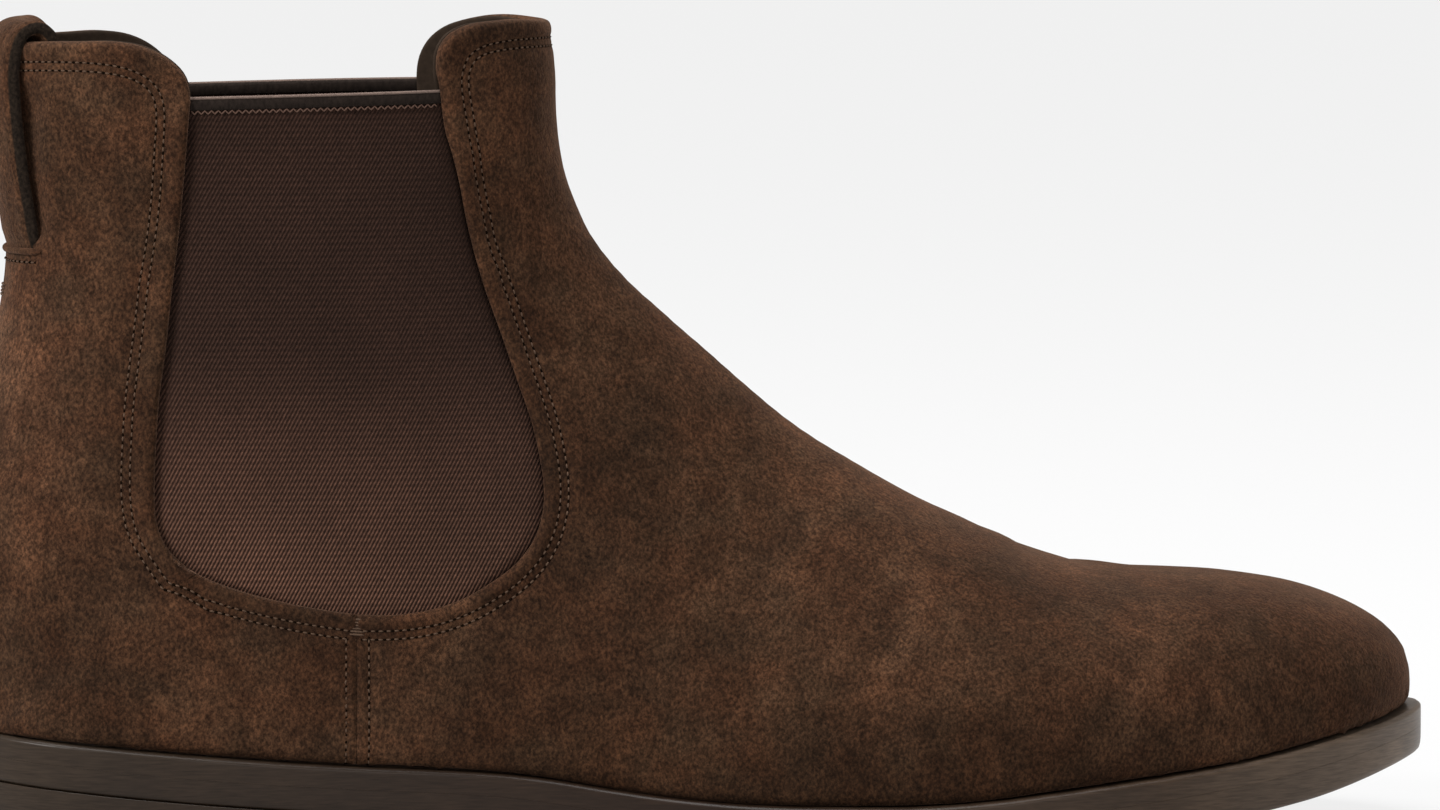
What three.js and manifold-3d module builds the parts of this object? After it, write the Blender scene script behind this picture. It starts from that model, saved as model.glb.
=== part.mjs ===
// Chelsea boot, right foot, EU 43: suede upper with elastic side gores, pull tab,
// linings, stiffeners, insole, shank, welt, outsole and a stacked heel.
// Millimetres. +X to the toe, +Z up, +Y to the inner side of the foot.
// The origin is the centre of the heel's base, on the ground.
import * as THREE from 'three';
import { mergeVertices } from 'three/addons/utils/BufferGeometryUtils.js';
import Module from 'manifold-3d';

const wasm = await Module();
wasm.setup();

// ---- driving dimensions -------------------------------------------------
const SUEDE = 1.3;          // upper suede thickness
const ELASTIC = [1.6, 2.7]; // depth of the gore elastic and of the stiffeners
const LINING = [3.0, 3.8];  // depth of the lining
const GAP = 0.3;            // clearance kept between touching pieces
const SEAM_X = 42.1;        // side seam between vamp and quarter
const GORE_MARGIN = 6.5;    // elastic hidden under the suede round the window
const BOTTOM_DROP = 9.7;    // from the feather line to the tread
const FOREPART_EXTRA = 1.3; // the sole is this much thicker behind the toe
const WELT = 4.4;           // welt and rand thickness
const SOLE_OUT = 2.8;       // how far the welt stands past the upper
const HEEL_BREAST = 38;     // front face of the heel
const TOP_PIECE = 4.6;      // rubber top piece thickness
const TAB_WIDTH = 26;       // pull tab
const TAB_THICK = 2.6;

// Feather line of the upper in plan: outer side, then inner side.
const PLAN_OUTER = [
  [-36.6, 0], [-34.9, -9], [-30.5, -16.8], [-22, -24.6], [-10, -29.4], [4, -31.8],
  [22, -32.2], [45, -31.0], [70, -31.6], [95, -36.2], [120, -43], [145, -48],
  [165, -50], [185, -48.6], [205, -43.3], [225, -35.4], [241, -26.8], [253, -17.2],
  [262, -6.6], [266.6, 1.8], [267.9, 8.6],
];
const PLAN_INNER = [
  [-36.6, 0], [-34.9, 9], [-30.5, 16.6], [-22, 24.0], [-10, 28.6], [4, 30.8],
  [22, 30.8], [45, 28.4], [70, 27.2], [95, 29.2], [120, 34.2], [145, 40.6],
  [168, 46], [190, 48], [212, 46], [231, 41.8], [246.5, 36.2], [258, 28],
  [265, 18.8], [267.4, 13.2], [267.9, 8.6],
];
// Height of the feather line along the foot.
const FEATHER_X = [-40.0,45.0,61.0,72.0,82.0,92.0,102.0,112.0,122.0,134.0,150.0,162.0,173.0,183.0,194.0,205.0,216.0,228.0,239.0,251.0,262.0,269.0,273.0];
const FEATHER_Z = [24.9,17.5,16.6,15.8,14.6,13.0,11.6,10.6,9.95,9.7,9.7,10.1,10.9,12.0,13.1,14.1,15.2,16.6,18.3,20.3,22.2,23.5,24.2];
// Middle line of the upper in plan.
const MID_X = [-40.0,100.0,150.0,190.0,230.0,268.0];
const MID_Y = [0.0,0.0,-1.2,0.0,3.2,8.6];
// Last sections, toe to collar: t, front ridge x z, rear end x z (null: on the
// feather line), half widths outer and inner (null: from the plan), place of the
// widest point, and the exponents of the two arcs.
const STATIONS = [
  [0.0, 268.35, 27.4, 267.9, null, 0, 0, 0.6, 2.0, 2.0],
  [0.03, 268.2, 30.6, 266.7, null, null, null, 0.6, 2.0, 2.0],
  [0.06, 266.9, 35.2, 262.9, null, null, null, 0.62, 2.1, 2.0],
  [0.09, 262.6, 40.4, 256.5, null, null, null, 0.66, 2.2, 2.0],
  [0.12, 254.6, 45.2, 248, null, null, null, 0.7, 2.25, 2.0],
  [0.16, 240, 49.9, 234, null, null, null, 0.74, 2.3, 2.0],
  [0.2, 222.7, 52.6, 216.5, null, null, null, 0.77, 2.3, 2.0],
  [0.24, 205.6, 53.7, 198, null, null, null, 0.79, 2.25, 2.0],
  [0.28, 191.2, 56.2, 179, null, null, null, 0.8, 2.1, 2.0],
  [0.32, 177.5, 62.1, 158, null, null, null, 0.81, 1.95, 2.0],
  [0.36, 163, 68.4, 135, null, null, null, 0.82, 1.85, 2.0],
  [0.4, 149.5, 75.8, 111.5, null, null, null, 0.82, 1.8, 2.0],
  [0.44, 137.8, 83.4, 88, null, null, null, 0.82, 1.8, 2.0],
  [0.48, 127.5, 91.8, 64.5, null, 34.5, 33.0, 0.82, 1.8, 2.0],
  [0.52, 118, 100.0, 42, null, 34.0, 32.6, 0.81, 1.85, 2.0],
  [0.56, 109.5, 107.6, 20, null, 34.0, 32.8, 0.79, 1.9, 2.0],
  [0.6, 102.5, 113.9, -1, null, 34.0, 32.9, 0.76, 1.95, 2.0],
  [0.64, 97, 119.9, -19, null, 33.6, 32.6, 0.72, 2.0, 2.1],
  [0.675, 93.2, 125.4, -30.5, null, 32.7, 31.9, 0.67, 2.05, 2.1],
  [0.7, 91.4, 129.2, -36.6, 21.7, 32.0, 31.3, 0.64, 2.1, 2.15],
  [0.73, 89.8, 133.0, -38.5, 34, 31.2, 30.6, 0.6, 2.1, 2.15],
  [0.76, 88.6, 136.5, -39.4, 46, 30.4, 30.0, 0.58, 2.15, 2.15],
  [0.8, 87.6, 141.5, -38.2, 67, 29.6, 29.3, 0.55, 2.2, 2.2],
  [0.84, 87.0, 146.5, -34.0, 86, 29.0, 28.8, 0.52, 2.2, 2.2],
  [0.88, 86.7, 151.5, -29.5, 104, 28.6, 28.5, 0.5, 2.25, 2.25],
  [0.92, 86.7, 156.5, -27.1, 124, 28.4, 28.4, 0.5, 2.3, 2.3],
  [0.96, 86.2, 162.5, -28.3, 145, 28.6, 28.6, 0.5, 2.3, 2.3],
  [1.0, 84.2, 170.5, -27.6, 167.5, 29.0, 29.0, 0.5, 2.3, 2.3],
];
// Gore window, side view, front edge from the collar down and round to the rear edge.
const GORE_FRONT = [[60.5, 155.5], [60.9, 151.8], [61.5, 147.6], [62.8, 143.5], [64.5, 137.3], [66.4, 127.8],
  [69.5, 116.4], [73.2, 105.7], [76.3, 96.3], [79.1, 87.9], [80.4, 81.8], [81.3, 75.6], [81.1, 69.9], [79.1, 63.9],
  [75.1, 58.9], [70.1, 55.3], [63.6, 51.8], [57.4, 49.9], [50.6, 49.0]];
const GORE_REAR = [[8.9, 155.3], [8.6, 150.2], [8.3, 146.2], [7.6, 138.0], [6.7, 128.6], [4.9, 114.3], [3.6, 103.1],
  [2.2, 93.2], [1.5, 83.8], [1.1, 75.4], [1.4, 68.3], [3.6, 63.0], [9.4, 58.0], [19.3, 54.0], [31.7, 50.9], [40.6, 49.4]];
const FRONT_FLAP = [[84.5, 169.3], [78, 170.0], [73.2, 169.8], [66.7, 169.0], [62.6, 167.0], [60.4, 163.8], [60.0, 159.2]];
const BACK_FLAP = [[-27.5, 165.3], [-21, 165.8], [-14, 166.0], [-7.1, 166.1], [-1.1, 165.2], [3.9, 162.9], [7.6, 159.4]];
const GORE_TOP = [[9.4, 154.2], [60.0, 155.2]];

// ---- curves -------------------------------------------------------------
function hermite(xs, ys) {
  const n = xs.length, h = [], d = [], m = new Array(n);
  for (let i = 0; i < n - 1; i++) { h.push(xs[i + 1] - xs[i]); d.push((ys[i + 1] - ys[i]) / h[i]); }
  m[0] = d[0]; m[n - 1] = d[n - 2];
  for (let i = 1; i < n - 1; i++) {
    if (d[i - 1] * d[i] <= 0) m[i] = 0;
    else { const a = 2 * h[i] + h[i - 1], b = h[i] + 2 * h[i - 1]; m[i] = (a + b) / (a / d[i - 1] + b / d[i]); }
  }
  return (x) => {
    let i = 0; while (i < n - 2 && x >= xs[i + 1]) i++;
    const t = Math.min(1, Math.max(0, (x - xs[i]) / h[i])), u = 1 - t;
    return (1 + 2 * t) * u * u * ys[i] + t * u * u * h[i] * m[i] + t * t * (3 - 2 * t) * ys[i + 1] + t * t * (t - 1) * h[i] * m[i + 1];
  };
}
function planCurve(pts, before, after) {
  const c = new THREE.CatmullRomCurve3([before, ...pts, after].map(([x, y]) => new THREE.Vector3(x, y, 0)), false, 'centripetal');
  const n = (pts.length + 1) * 16, out = [];
  for (let k = 16; k <= n - 16; k++) { const p = c.getPoint(k / n); out.push([p.x, p.y]); }
  return out;
}
const outerLine = planCurve(PLAN_OUTER, PLAN_INNER[1], PLAN_INNER[PLAN_INNER.length - 2]);
const innerLine = planCurve(PLAN_INNER, PLAN_OUTER[1], PLAN_OUTER[PLAN_OUTER.length - 2]);
function lookup(line) {
  return (x) => {
    if (x <= line[0][0]) return line[0][1];
    for (let i = 1; i < line.length; i++) if (x <= line[i][0]) {
      const f = (x - line[i - 1][0]) / (line[i][0] - line[i - 1][0] || 1);
      return line[i - 1][1] + (line[i][1] - line[i - 1][1]) * f;
    }
    return line[line.length - 1][1];
  };
}
const yOuter = lookup(outerLine), yInner = lookup(innerLine);
const zFeather = hermite(FEATHER_X, FEATHER_Z), yMid = hermite(MID_X, MID_Y);
const TS = STATIONS.map((s) => s[0]);
const col = (i, fill) => hermite(TS, STATIONS.map((s) => (s[i] === null ? fill(s) : s[i])));
const DIP = 3; // the sections run a little below the feather line and are trimmed there
const ridgeX = col(1), ridgeZ = col(2), endX = col(3), endZ = col(4, (s) => zFeather(s[3]) - DIP);
const planHalf = (x, side) => Math.abs((side < 0 ? yOuter(x) : yInner(x)) - yMid(x));
const halfOuter = col(5, (s) => planHalf(s[3], -1) + Math.min(1.4, 14 * s[0]));
const halfInner = col(6, (s) => planHalf(s[3], 1) + Math.min(1.4, 14 * s[0]));
const widest = col(7), expFront = col(8), expRear = col(9);
let HEEL_T = 0.6;
{ let a = 0.6, b = 0.74; for (let i = 0; i < 50; i++) { const m = (a + b) / 2; if (endX(m) > -36.6) a = m; else b = m; } HEEL_T = b; }

// A point of the outer skin: t along the foot, u from -1 (outer end) over 0 (ridge) to 1.
function skin(t, u) {
  const side = u < 0 ? -1 : 1, phi = Math.min(1, Math.abs(u));
  const fx = ridgeX(t), fz = ridgeZ(t), bx = endX(t), bz = endZ(t);
  let hend = t >= HEEL_T ? 0 : planHalf(bx, side) * Math.min(1, Math.max(0, 1 - (bz - zFeather(bx)) / 3.5));
  const W = Math.max(side < 0 ? halfOuter(t) : halfInner(t), hend), wm = widest(t), p = expFront(t), q = expRear(t);
  let w, h;
  if (phi < 0.5) { const a = phi * Math.PI; w = wm * (1 - Math.pow(Math.cos(a), 2 / p)); h = W * Math.pow(Math.sin(a), 2 / p); }
  else { const b = (phi * 2 - 1) * Math.PI / 2; w = wm + (1 - wm) * Math.pow(Math.sin(b), 2 / q); h = hend + (W - hend) * Math.pow(Math.max(0, Math.cos(b)), 2 / q); }
  if (t === 0) h = 0;
  const x = fx + (bx - fx) * w;
  return new THREE.Vector3(x, yMid(x) + side * h, fz + (bz - fz) * w);
}
function skinNormal(t, u) {
  const e = 0.012, t0 = Math.max(0.004, t - e), t1 = Math.min(1, t + e), tc = Math.max(0.02, t);
  let ua = u - 0.03, ub = u + 0.03;
  const wrap = (v, tt) => { if (v > 1) return tt >= HEEL_T ? v - 2 : 1; if (v < -1) return tt >= HEEL_T ? v + 2 : -1; return v; };
  const A = skin(tc, wrap(ua, tc)), B = skin(tc, wrap(ub, tc));
  const C = skin(t0, u), D = skin(t1, u);
  return B.sub(A).cross(D.sub(C)).normalize();
}

// ---- solids -------------------------------------------------------------
function toManifold(geo) {
  const g = geo.index ? geo.clone() : geo;
  g.deleteAttribute('normal'); g.deleteAttribute('uv');
  const m = mergeVertices(g, 1e-4);
  return new wasm.Manifold(new wasm.Mesh({ numProp: 3, vertProperties: new Float32Array(m.attributes.position.array), triVerts: new Uint32Array(m.index.array) }));
}
function toGeometry(man) {
  const m = man.getMesh(), g = new THREE.BufferGeometry(), np = m.numProp, n = m.vertProperties.length / np;
  const pos = new Float32Array(n * 3);
  for (let i = 0; i < n; i++) for (let k = 0; k < 3; k++) pos[i * 3 + k] = m.vertProperties[i * np + k];
  g.setAttribute('position', new THREE.BufferAttribute(pos, 3));
  g.setIndex(new THREE.BufferAttribute(new Uint32Array(m.triVerts), 1));
  return g;
}
function fromQuads(quads) {
  const pos = [];
  for (const [a, b, c, d] of quads) {
    for (const [p, q, r] of [[a, b, c], [a, c, d]]) {
      if (p.distanceTo(q) < 1e-4 || q.distanceTo(r) < 1e-4 || r.distanceTo(p) < 1e-4) continue;
      pos.push(p.x, p.y, p.z, q.x, q.y, q.z, r.x, r.y, r.z);
    }
  }
  const volume = () => { let v = 0; for (let i = 0; i < pos.length; i += 9) { const a = new THREE.Vector3(...pos.slice(i, i + 3)), b = new THREE.Vector3(...pos.slice(i + 3, i + 6)), c = new THREE.Vector3(...pos.slice(i + 6, i + 9)); v += a.dot(b.cross(c)); } return v; };
  if (volume() < 0) for (let i = 0; i < pos.length; i += 9) for (let k = 0; k < 3; k++) { const s = pos[i + 3 + k]; pos[i + 3 + k] = pos[i + 6 + k]; pos[i + 6 + k] = s; }
  const g = new THREE.BufferGeometry();
  g.setAttribute('position', new THREE.Float32BufferAttribute(pos, 3));
  return g;
}
// The whole upper as one layer, between two depths below the outer skin.
function layer(d0, d1) {
  const rows = [0, 0.022, 0.05, 0.08, 0.115, 0.15, 0.19, 0.235, 0.28, 0.33, 0.39, 0.45, 0.51, 0.57, 0.625, 0.66, 0.685, HEEL_T, 0.715, 0.75, 0.79, 0.84, 0.89, 0.94, 1];
  const us = []; const half = [0, 0.08, 0.17, 0.27, 0.38, 0.5, 0.63, 0.75, 0.86, 0.94, 1];
  for (let i = half.length - 1; i > 0; i--) us.push(-half[i]); us.push(...half);
  const O = [], I = [];
  for (const t of rows) {
    const o = [], n = [];
    for (const u of us) {
      const p = skin(t, u), nn = skinNormal(t, u);
      if (u === 0) nn.y *= 0.0 + (t > 0.2 ? 0 : 1);
      nn.normalize();
      if (t === 0) { nn.set(1, 0, 0.15).normalize(); }
      if (t >= HEEL_T && Math.abs(u) === 1) { nn.y = 0; nn.normalize(); if (nn.x > 0) nn.negate(); }
      o.push(p.clone().addScaledVector(nn, -d0)); n.push(p.clone().addScaledVector(nn, -d1));
    }
    if (t >= HEEL_T) { o[us.length - 1].copy(o[0]); n[us.length - 1].copy(n[0]); } // closed at the back
    if (t === 0) for (let c = us.length - 1, k = 0; k < c; k++, c--) { o[c].copy(o[k]); n[c].copy(n[k]); } // closed at the toe
    O.push(o); I.push(n);
  }
  const quads = [], C = us.length - 1, R = rows.length - 1;
  for (let r = 0; r < R; r++) for (let c = 0; c < C; c++) {
    quads.push([O[r][c], O[r][c + 1], O[r + 1][c + 1], O[r + 1][c]]);
    quads.push([I[r][c], I[r + 1][c], I[r + 1][c + 1], I[r][c + 1]]);
  }
  for (let c = 0; c < C; c++) quads.push([O[R][c], O[R][c + 1], I[R][c + 1], I[R][c]]);
  for (let r = 0; r < R && rows[r + 1] <= HEEL_T + 1e-9; r++) {
    quads.push([O[r + 1][0], I[r + 1][0], I[r][0], O[r][0]]);
    quads.push([O[r][C], I[r][C], I[r + 1][C], O[r + 1][C]]);
  }
  return toManifold(fromQuads(quads));
}
// A side view outline, extruded across from y0 to y1.
function prism(pts, y0, y1) {
  const s = new THREE.Shape(pts.map(([x, z]) => new THREE.Vector2(x, z)));
  const g = new THREE.ExtrudeGeometry(s, { depth: y1 - y0, bevelEnabled: false, steps: 1 });
  g.rotateX(Math.PI / 2); g.translate(0, y1, 0);
  return toManifold(g);
}
const feather = (x0, x1, up) => { const a = [], n = Math.max(2, Math.ceil(Math.abs(x1 - x0) / 9)); for (let i = 0; i <= n; i++) { const x = x0 + (x1 - x0) * i / n; a.push([x, zFeather(x) + up]); } return a; };
// A plate that follows the sole's curve: station strips between two side lines.
function stations(x0, x1) {
  const a = []; const n = Math.ceil((x1 - x0) / 9);
  for (let i = 0; i <= n; i++) { const f = i / n; a.push(x0 + (x1 - x0) * f); }
  const e = [0.15, 0.6, 1.4, 2.8, 5]; const out = new Set(a);
  for (const v of e) { out.add(x0 + v); out.add(x1 - v); }
  return [...out].sort((p, q) => p - q);
}
function offsetLine(line, d) { // moves a plan line outwards by d
  const out = [];
  for (let i = 0; i < line.length; i++) {
    const a = line[Math.max(0, i - 1)], b = line[Math.min(line.length - 1, i + 1)];
    const tx = b[0] - a[0], ty = b[1] - a[1], l = Math.hypot(tx, ty);
    out.push([line[i][0] + d * (line === innerLine ? -ty : ty) / l, line[i][1] + d * (line === innerLine ? tx : -tx) / l]);
  }
  out[0][1] = 0; out[0][0] = line[0][0] - d;
  out[out.length - 1][0] = line[line.length - 1][0] + d; out[out.length - 1][1] = line[line.length - 1][1];
  return out;
}
function plate(d, x0, x1, zTop, zBot, lim) {
  const L = offsetLine(outerLine, d), M = offsetLine(innerLine, d);
  const a = Math.max(x0, L[0][0]), b = Math.min(x1, L[L.length - 1][0]);
  const yl = lookup(L), ym = lookup(M), quads = [], S = stations(a, b);
  const ring = S.map((x) => { let p = yl(x), q = ym(x); if (lim) { p = Math.max(p, lim[0]); q = Math.min(q, lim[1]); } if (q - p < 0.02) { const m = (p + q) / 2; p = m; q = m; }
    return [new THREE.Vector3(x, p, zTop(x)), new THREE.Vector3(x, q, zTop(x)), new THREE.Vector3(x, q, zBot(x)), new THREE.Vector3(x, p, zBot(x))]; });
  for (let i = 0; i + 1 < ring.length; i++) for (let k = 0; k < 4; k++) quads.push([ring[i][k], ring[i][(k + 1) % 4], ring[i + 1][(k + 1) % 4], ring[i + 1][k]]);
  for (const r of [ring[0], ring[ring.length - 1]]) if (r[0].distanceTo(r[1]) > 1e-4) quads.push(r === ring[0] ? [r[3], r[2], r[1], r[0]] : [r[0], r[1], r[2], r[3]]);
  return toManifold(fromQuads(quads));
}
const box = (x0, x1, y0, y1, z0, z1) => { const g = new THREE.BoxGeometry(x1 - x0, y1 - y0, z1 - z0); g.translate((x0 + x1) / 2, (y0 + y1) / 2, (z0 + z1) / 2); return toManifold(g); };
const band = (dOut, dIn, x0, x1, zTop, zBot) => plate(dOut, x0, x1, zTop, zBot).subtract(plate(dIn, -200, 400, (x) => zTop(x) + 1, (x) => zBot(x) - 1));
const up = (h) => (x) => zFeather(x) + h;

// ---- the upper ----------------------------------------------------------
const windowLine = [...GORE_FRONT, ...[...GORE_REAR].reverse()];
const vampSide = (low, seam) => [[300, 169.3], [100, 169.3], ...FRONT_FLAP, ...GORE_FRONT, [seam, 49.2], ...feather(seam, 275, low), [300, zFeather(275) + low]];
const quarterSide = (low, seam, top) => [[-60, 165.2 - top], ...BACK_FLAP.map(([x, z]) => [x, z - top]), ...GORE_REAR, [seam, 49.3], ...feather(seam, -45, low), [-60, 26]];
const grow = (pts, d) => { // widens the window outline by d
  const out = []; const n = pts.length;
  for (let i = 0; i < n; i++) { const a = pts[Math.max(0, i - 1)], b = pts[Math.min(n - 1, i + 1)]; const tx = b[0] - a[0], tz = b[1] - a[1], l = Math.hypot(tx, tz); out.push([pts[i][0] - d * tz / l, pts[i][1] + d * tx / l]); }
  return out;
};
const suede = layer(0, SUEDE), middle = layer(ELASTIC[0], ELASTIC[1]), inside = layer(LINING[0], LINING[1]);
const half = { outer: [-80, 0], inner: [0, 80] };
const margin = (x0, x1) => band(-0.6, -10, x0, x1, up(GAP + SUEDE), up(GAP));
const solids = {};
solids.vamp = suede.intersect(prism(vampSide(GAP, SEAM_X + 0.2), -80, 80)).add(margin(SEAM_X + 0.2, 300).intersect(prism([[SEAM_X + 0.2, -20], [300, -20], [300, 60], [SEAM_X + 0.2, 60]], -80, 80)));
const quarters = suede.intersect(prism(quarterSide(GAP, SEAM_X - 0.2, 0), -80, 80)).add(margin(-60, SEAM_X - 0.2));
solids.quarter_outer = quarters.intersect(box(-80, 80, -80, -0.15, -10, 200));
solids.quarter_inner = quarters.intersect(box(-80, 80, 0.15, 80, -10, 200));
const goreLine = grow(windowLine, GORE_MARGIN);
goreLine[0] = [goreLine[0][0], GORE_TOP[1][1]]; goreLine[goreLine.length - 1] = [goreLine[goreLine.length - 1][0], GORE_TOP[0][1]];
const tapeLine = [[GORE_TOP[0][0] + 0.2, GORE_TOP[0][1]], [GORE_TOP[1][0], GORE_TOP[1][1]], [GORE_TOP[1][0] + 0.4, GORE_TOP[1][1] - 3.0], [GORE_TOP[0][0] - 0.2, GORE_TOP[0][1] - 3.0]];
const skinTape = layer(0.4, 1.3);
for (const [name, y0, y1] of [['outer', -80, -4], ['inner', 4, 80]]) {
  solids['gore_' + name] = middle.intersect(prism(goreLine, y0, y1));
  solids['gore_tape_' + name] = skinTape.intersect(prism(tapeLine, y0, y1));
}
solids.vamp_lining = inside.intersect(prism(vampSide(2.0, SEAM_X + 0.2).map(([x, z]) => [x, z > 158 ? z - 0.4 : z]), -80, 80));
solids.quarter_lining = inside.intersect(prism(quarterSide(2.0, SEAM_X - 0.2, 0.4), -80, 80));
solids.heel_counter = middle.intersect(prism([[-60, 70], [-22, 67], [-12, 60], [-9, 47], [4, 39], [24, 35], [34, 28], ...feather(36, -45, 2.0), [-60, 28]], -80, 80));
solids.toe_puff = middle.intersect(prism([[300, 70], [212, 70], [214, 52], [220, 36], ...feather(226, 275, 2.0), [300, 26]], -80, 80));

// ---- the bottom ---------------------------------------------------------
solids.insole = plate(-4.3, -60, 300, up(4.6), up(2.0));
solids.sock_liner = plate(-5.2, -60, 300, up(6.1), up(4.9));
solids.welt = band(SOLE_OUT, -8, SEAM_X - 4, 300, up(0), up(-WELT));
solids.heel_rand = band(SOLE_OUT, -8, -60, SEAM_X - 4.3, up(0), up(-WELT));
solids.cork_filler = plate(-10.5, 112, 300, up(1.6), up(-WELT));
solids.shank_cover = plate(-10.5, -60, 111.7, up(-GAP), up(-WELT));
const shankPts = []; for (let i = 0; i <= 10; i++) { const x = -2 + 11.2 * i; shankPts.push(x); }
{
  const quads = [], ring = shankPts.map((x) => { const z = zFeather(x), w = 7.5; return [[x, -w, z + 1.6], [x, w, z + 1.6], [x, w, z + 0.1], [x, -w, z + 0.1]].map((p) => new THREE.Vector3(...p)); });
  for (let i = 0; i + 1 < ring.length; i++) for (let k = 0; k < 4; k++) quads.push([ring[i][k], ring[i][(k + 1) % 4], ring[i + 1][(k + 1) % 4], ring[i + 1][k]]);
  const a = ring[0], b = ring[ring.length - 1]; quads.push([a[3], a[2], a[1], a[0]], b);
  solids.shank = toManifold(fromQuads(quads));
}
const ease = (k) => { const c = Math.min(1, Math.max(0, k)); return c * c * (3 - 2 * c); };
const tread = (x) => Math.max(0, zFeather(x) - BOTTOM_DROP - FOREPART_EXTRA * ease((x - 125) / 40) * ease((269 - x) / 30));
solids.outsole = plate(SOLE_OUT, -60, 300, up(-WELT - GAP), tread);
const seat = (x) => zFeather(x) - BOTTOM_DROP - GAP;
solids.heel_lift_1 = plate(SOLE_OUT - 0.2, -60, HEEL_BREAST, seat, () => TOP_PIECE + 2.2 + GAP * 2);
solids.heel_lift_2 = plate(SOLE_OUT - 0.3, -60, HEEL_BREAST - 0.3, () => TOP_PIECE + 2.2 + GAP, () => TOP_PIECE + GAP);
solids.heel_top_piece = plate(SOLE_OUT - 0.4, -60, HEEL_BREAST - 0.6, () => TOP_PIECE, () => 0);
const NAILS = [[-24, 0], [-14, -16], [-14, 16], [8, -18], [8, 17]];
NAILS.forEach(([x, y], i) => {
  const hole = (r, z0, z1) => { const g = new THREE.CylinderGeometry(r, r, z1 - z0, 10, 1); g.rotateX(Math.PI / 2); g.translate(x, y, (z0 + z1) / 2); return toManifold(g); };
  const z1 = zFeather(x) - WELT - 1.2;
  for (const n of ['outsole', 'heel_lift_1', 'heel_lift_2']) solids[n] = solids[n].subtract(hole(1.4, TOP_PIECE + 0.1, 40));
  solids['heel_nail_' + (i + 1)] = hole(1.1, TOP_PIECE + GAP + 0.2, z1);
});

// ---- the pull tab: one strap from its stitched foot, over the collar and in -------
// It wraps round the back: backCurve is how far the back falls away at y.
const backCurve = (y) => 57 * (1 - Math.pow(1 - Math.pow(Math.abs(y) / 28.4, 2.3), 1 / 2.3));
function strap(points, w, th, n) {
  const c = new THREE.CatmullRomCurve3(points.map(([x, z]) => new THREE.Vector3(x, 0, z)), false, 'centripetal');
  const quads = [], ring = [], ys = [-1, -0.75, -0.4, 0, 0.4, 0.75, 1].map((v) => v * w / 2);
  for (let i = 0; i <= n; i++) {
    const p = c.getPoint(i / n), t = c.getTangent(i / n), nx = t.z, nz = -t.x, k = th / 2;
    const e = (s, y) => new THREE.Vector3(p.x + nx * s + backCurve(y), y, p.z + nz * s);
    ring.push([...ys.map((y) => e(-k, y)), ...[...ys].reverse().map((y) => e(k, y))]);
  }
  const m = ring[0].length, h = ys.length;
  for (let i = 0; i < n; i++) for (let k = 0; k < m; k++) quads.push([ring[i][k], ring[i][(k + 1) % m], ring[i + 1][(k + 1) % m], ring[i + 1][k]]);
  for (let k = 0; k + 1 < h; k++) {
    const a = ring[0], b = ring[n];
    quads.push([a[k + 1], a[k], a[m - 1 - k], a[m - 2 - k]], [b[k], b[k + 1], b[m - 2 - k], b[m - 1 - k]]);
  }
  return toManifold(fromQuads(quads));
}
const TAB_PATH = [[-28.9, 122.2], [-29.6, 129], [-30.5, 137], [-31.0, 146], [-31.2, 155], [-30.7, 161.8], [-29.2, 166.0], [-26.9, 168.1], [-24.6, 168.3]];
const TAIL_PATH = [[-23.9, 168.05], [-22.2, 167.0], [-21.0, 163.6], [-20.6, 158], [-20.7, 151], [-20.6, 146]];
solids.pull_tab = strap(TAB_PATH, TAB_WIDTH, TAB_THICK, 12).subtract(layer(-GAP, 8));
solids.pull_tab_tail = strap(TAIL_PATH, TAB_WIDTH - 2, TAB_THICK, 7).subtract(layer(0, LINING[1] + GAP));

// ---- materials ----------------------------------------------------------
const M = (color, roughness, metalness = 0) => new THREE.MeshStandardMaterial({ color, roughness, metalness });
const looks = {
  suede: M(0x4b3325, 0.95), elastic: M(0x44342c, 0.9), tape: M(0x302720, 0.9), lining: M(0x4a4036, 0.8), stiffener: M(0xb9a27e, 0.85),
  insole: M(0xb08a60, 0.8), sock: M(0x4a3a2e, 0.8), welt: M(0x4a3b32, 0.6), sole: M(0x3d312b, 0.55), rubber: M(0x241f1d, 0.8),
  cork: M(0x9a7348, 0.95), board: M(0xa58a66, 0.9), steel: M(0x9a9a98, 0.35, 1),
};
const finish = {
  vamp: 'suede', quarter_outer: 'suede', quarter_inner: 'suede', gore_outer: 'elastic', gore_inner: 'elastic', gore_tape_outer: 'tape', gore_tape_inner: 'tape',
  pull_tab: 'suede', pull_tab_tail: 'suede', vamp_lining: 'lining', quarter_lining: 'lining', heel_counter: 'stiffener', toe_puff: 'stiffener',
  insole: 'insole', sock_liner: 'sock', welt: 'welt', heel_rand: 'welt', cork_filler: 'cork', shank_cover: 'board', shank: 'steel',
  outsole: 'sole', heel_lift_1: 'sole', heel_lift_2: 'sole', heel_top_piece: 'rubber',
};
const boot = new THREE.Group();
boot.name = 'chelsea_boot';
for (const [name, solid] of Object.entries(solids)) {
  const mesh = new THREE.Mesh(toGeometry(solid), looks[finish[name] || 'steel']);
  mesh.name = name;
  boot.add(mesh);
}
export default boot;
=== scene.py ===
"""The looks of a chelsea boot (right foot): brushed suede, elastic gores, pull tab,
lining, burnished sole edge and stacked heel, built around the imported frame.
Shapes are made in millimetres and written in metres."""
import math

import bpy
import numpy as np
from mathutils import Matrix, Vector, noise
from mathutils.geometry import delaunay_2d_cdt
from mathutils.kdtree import KDTree


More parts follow.
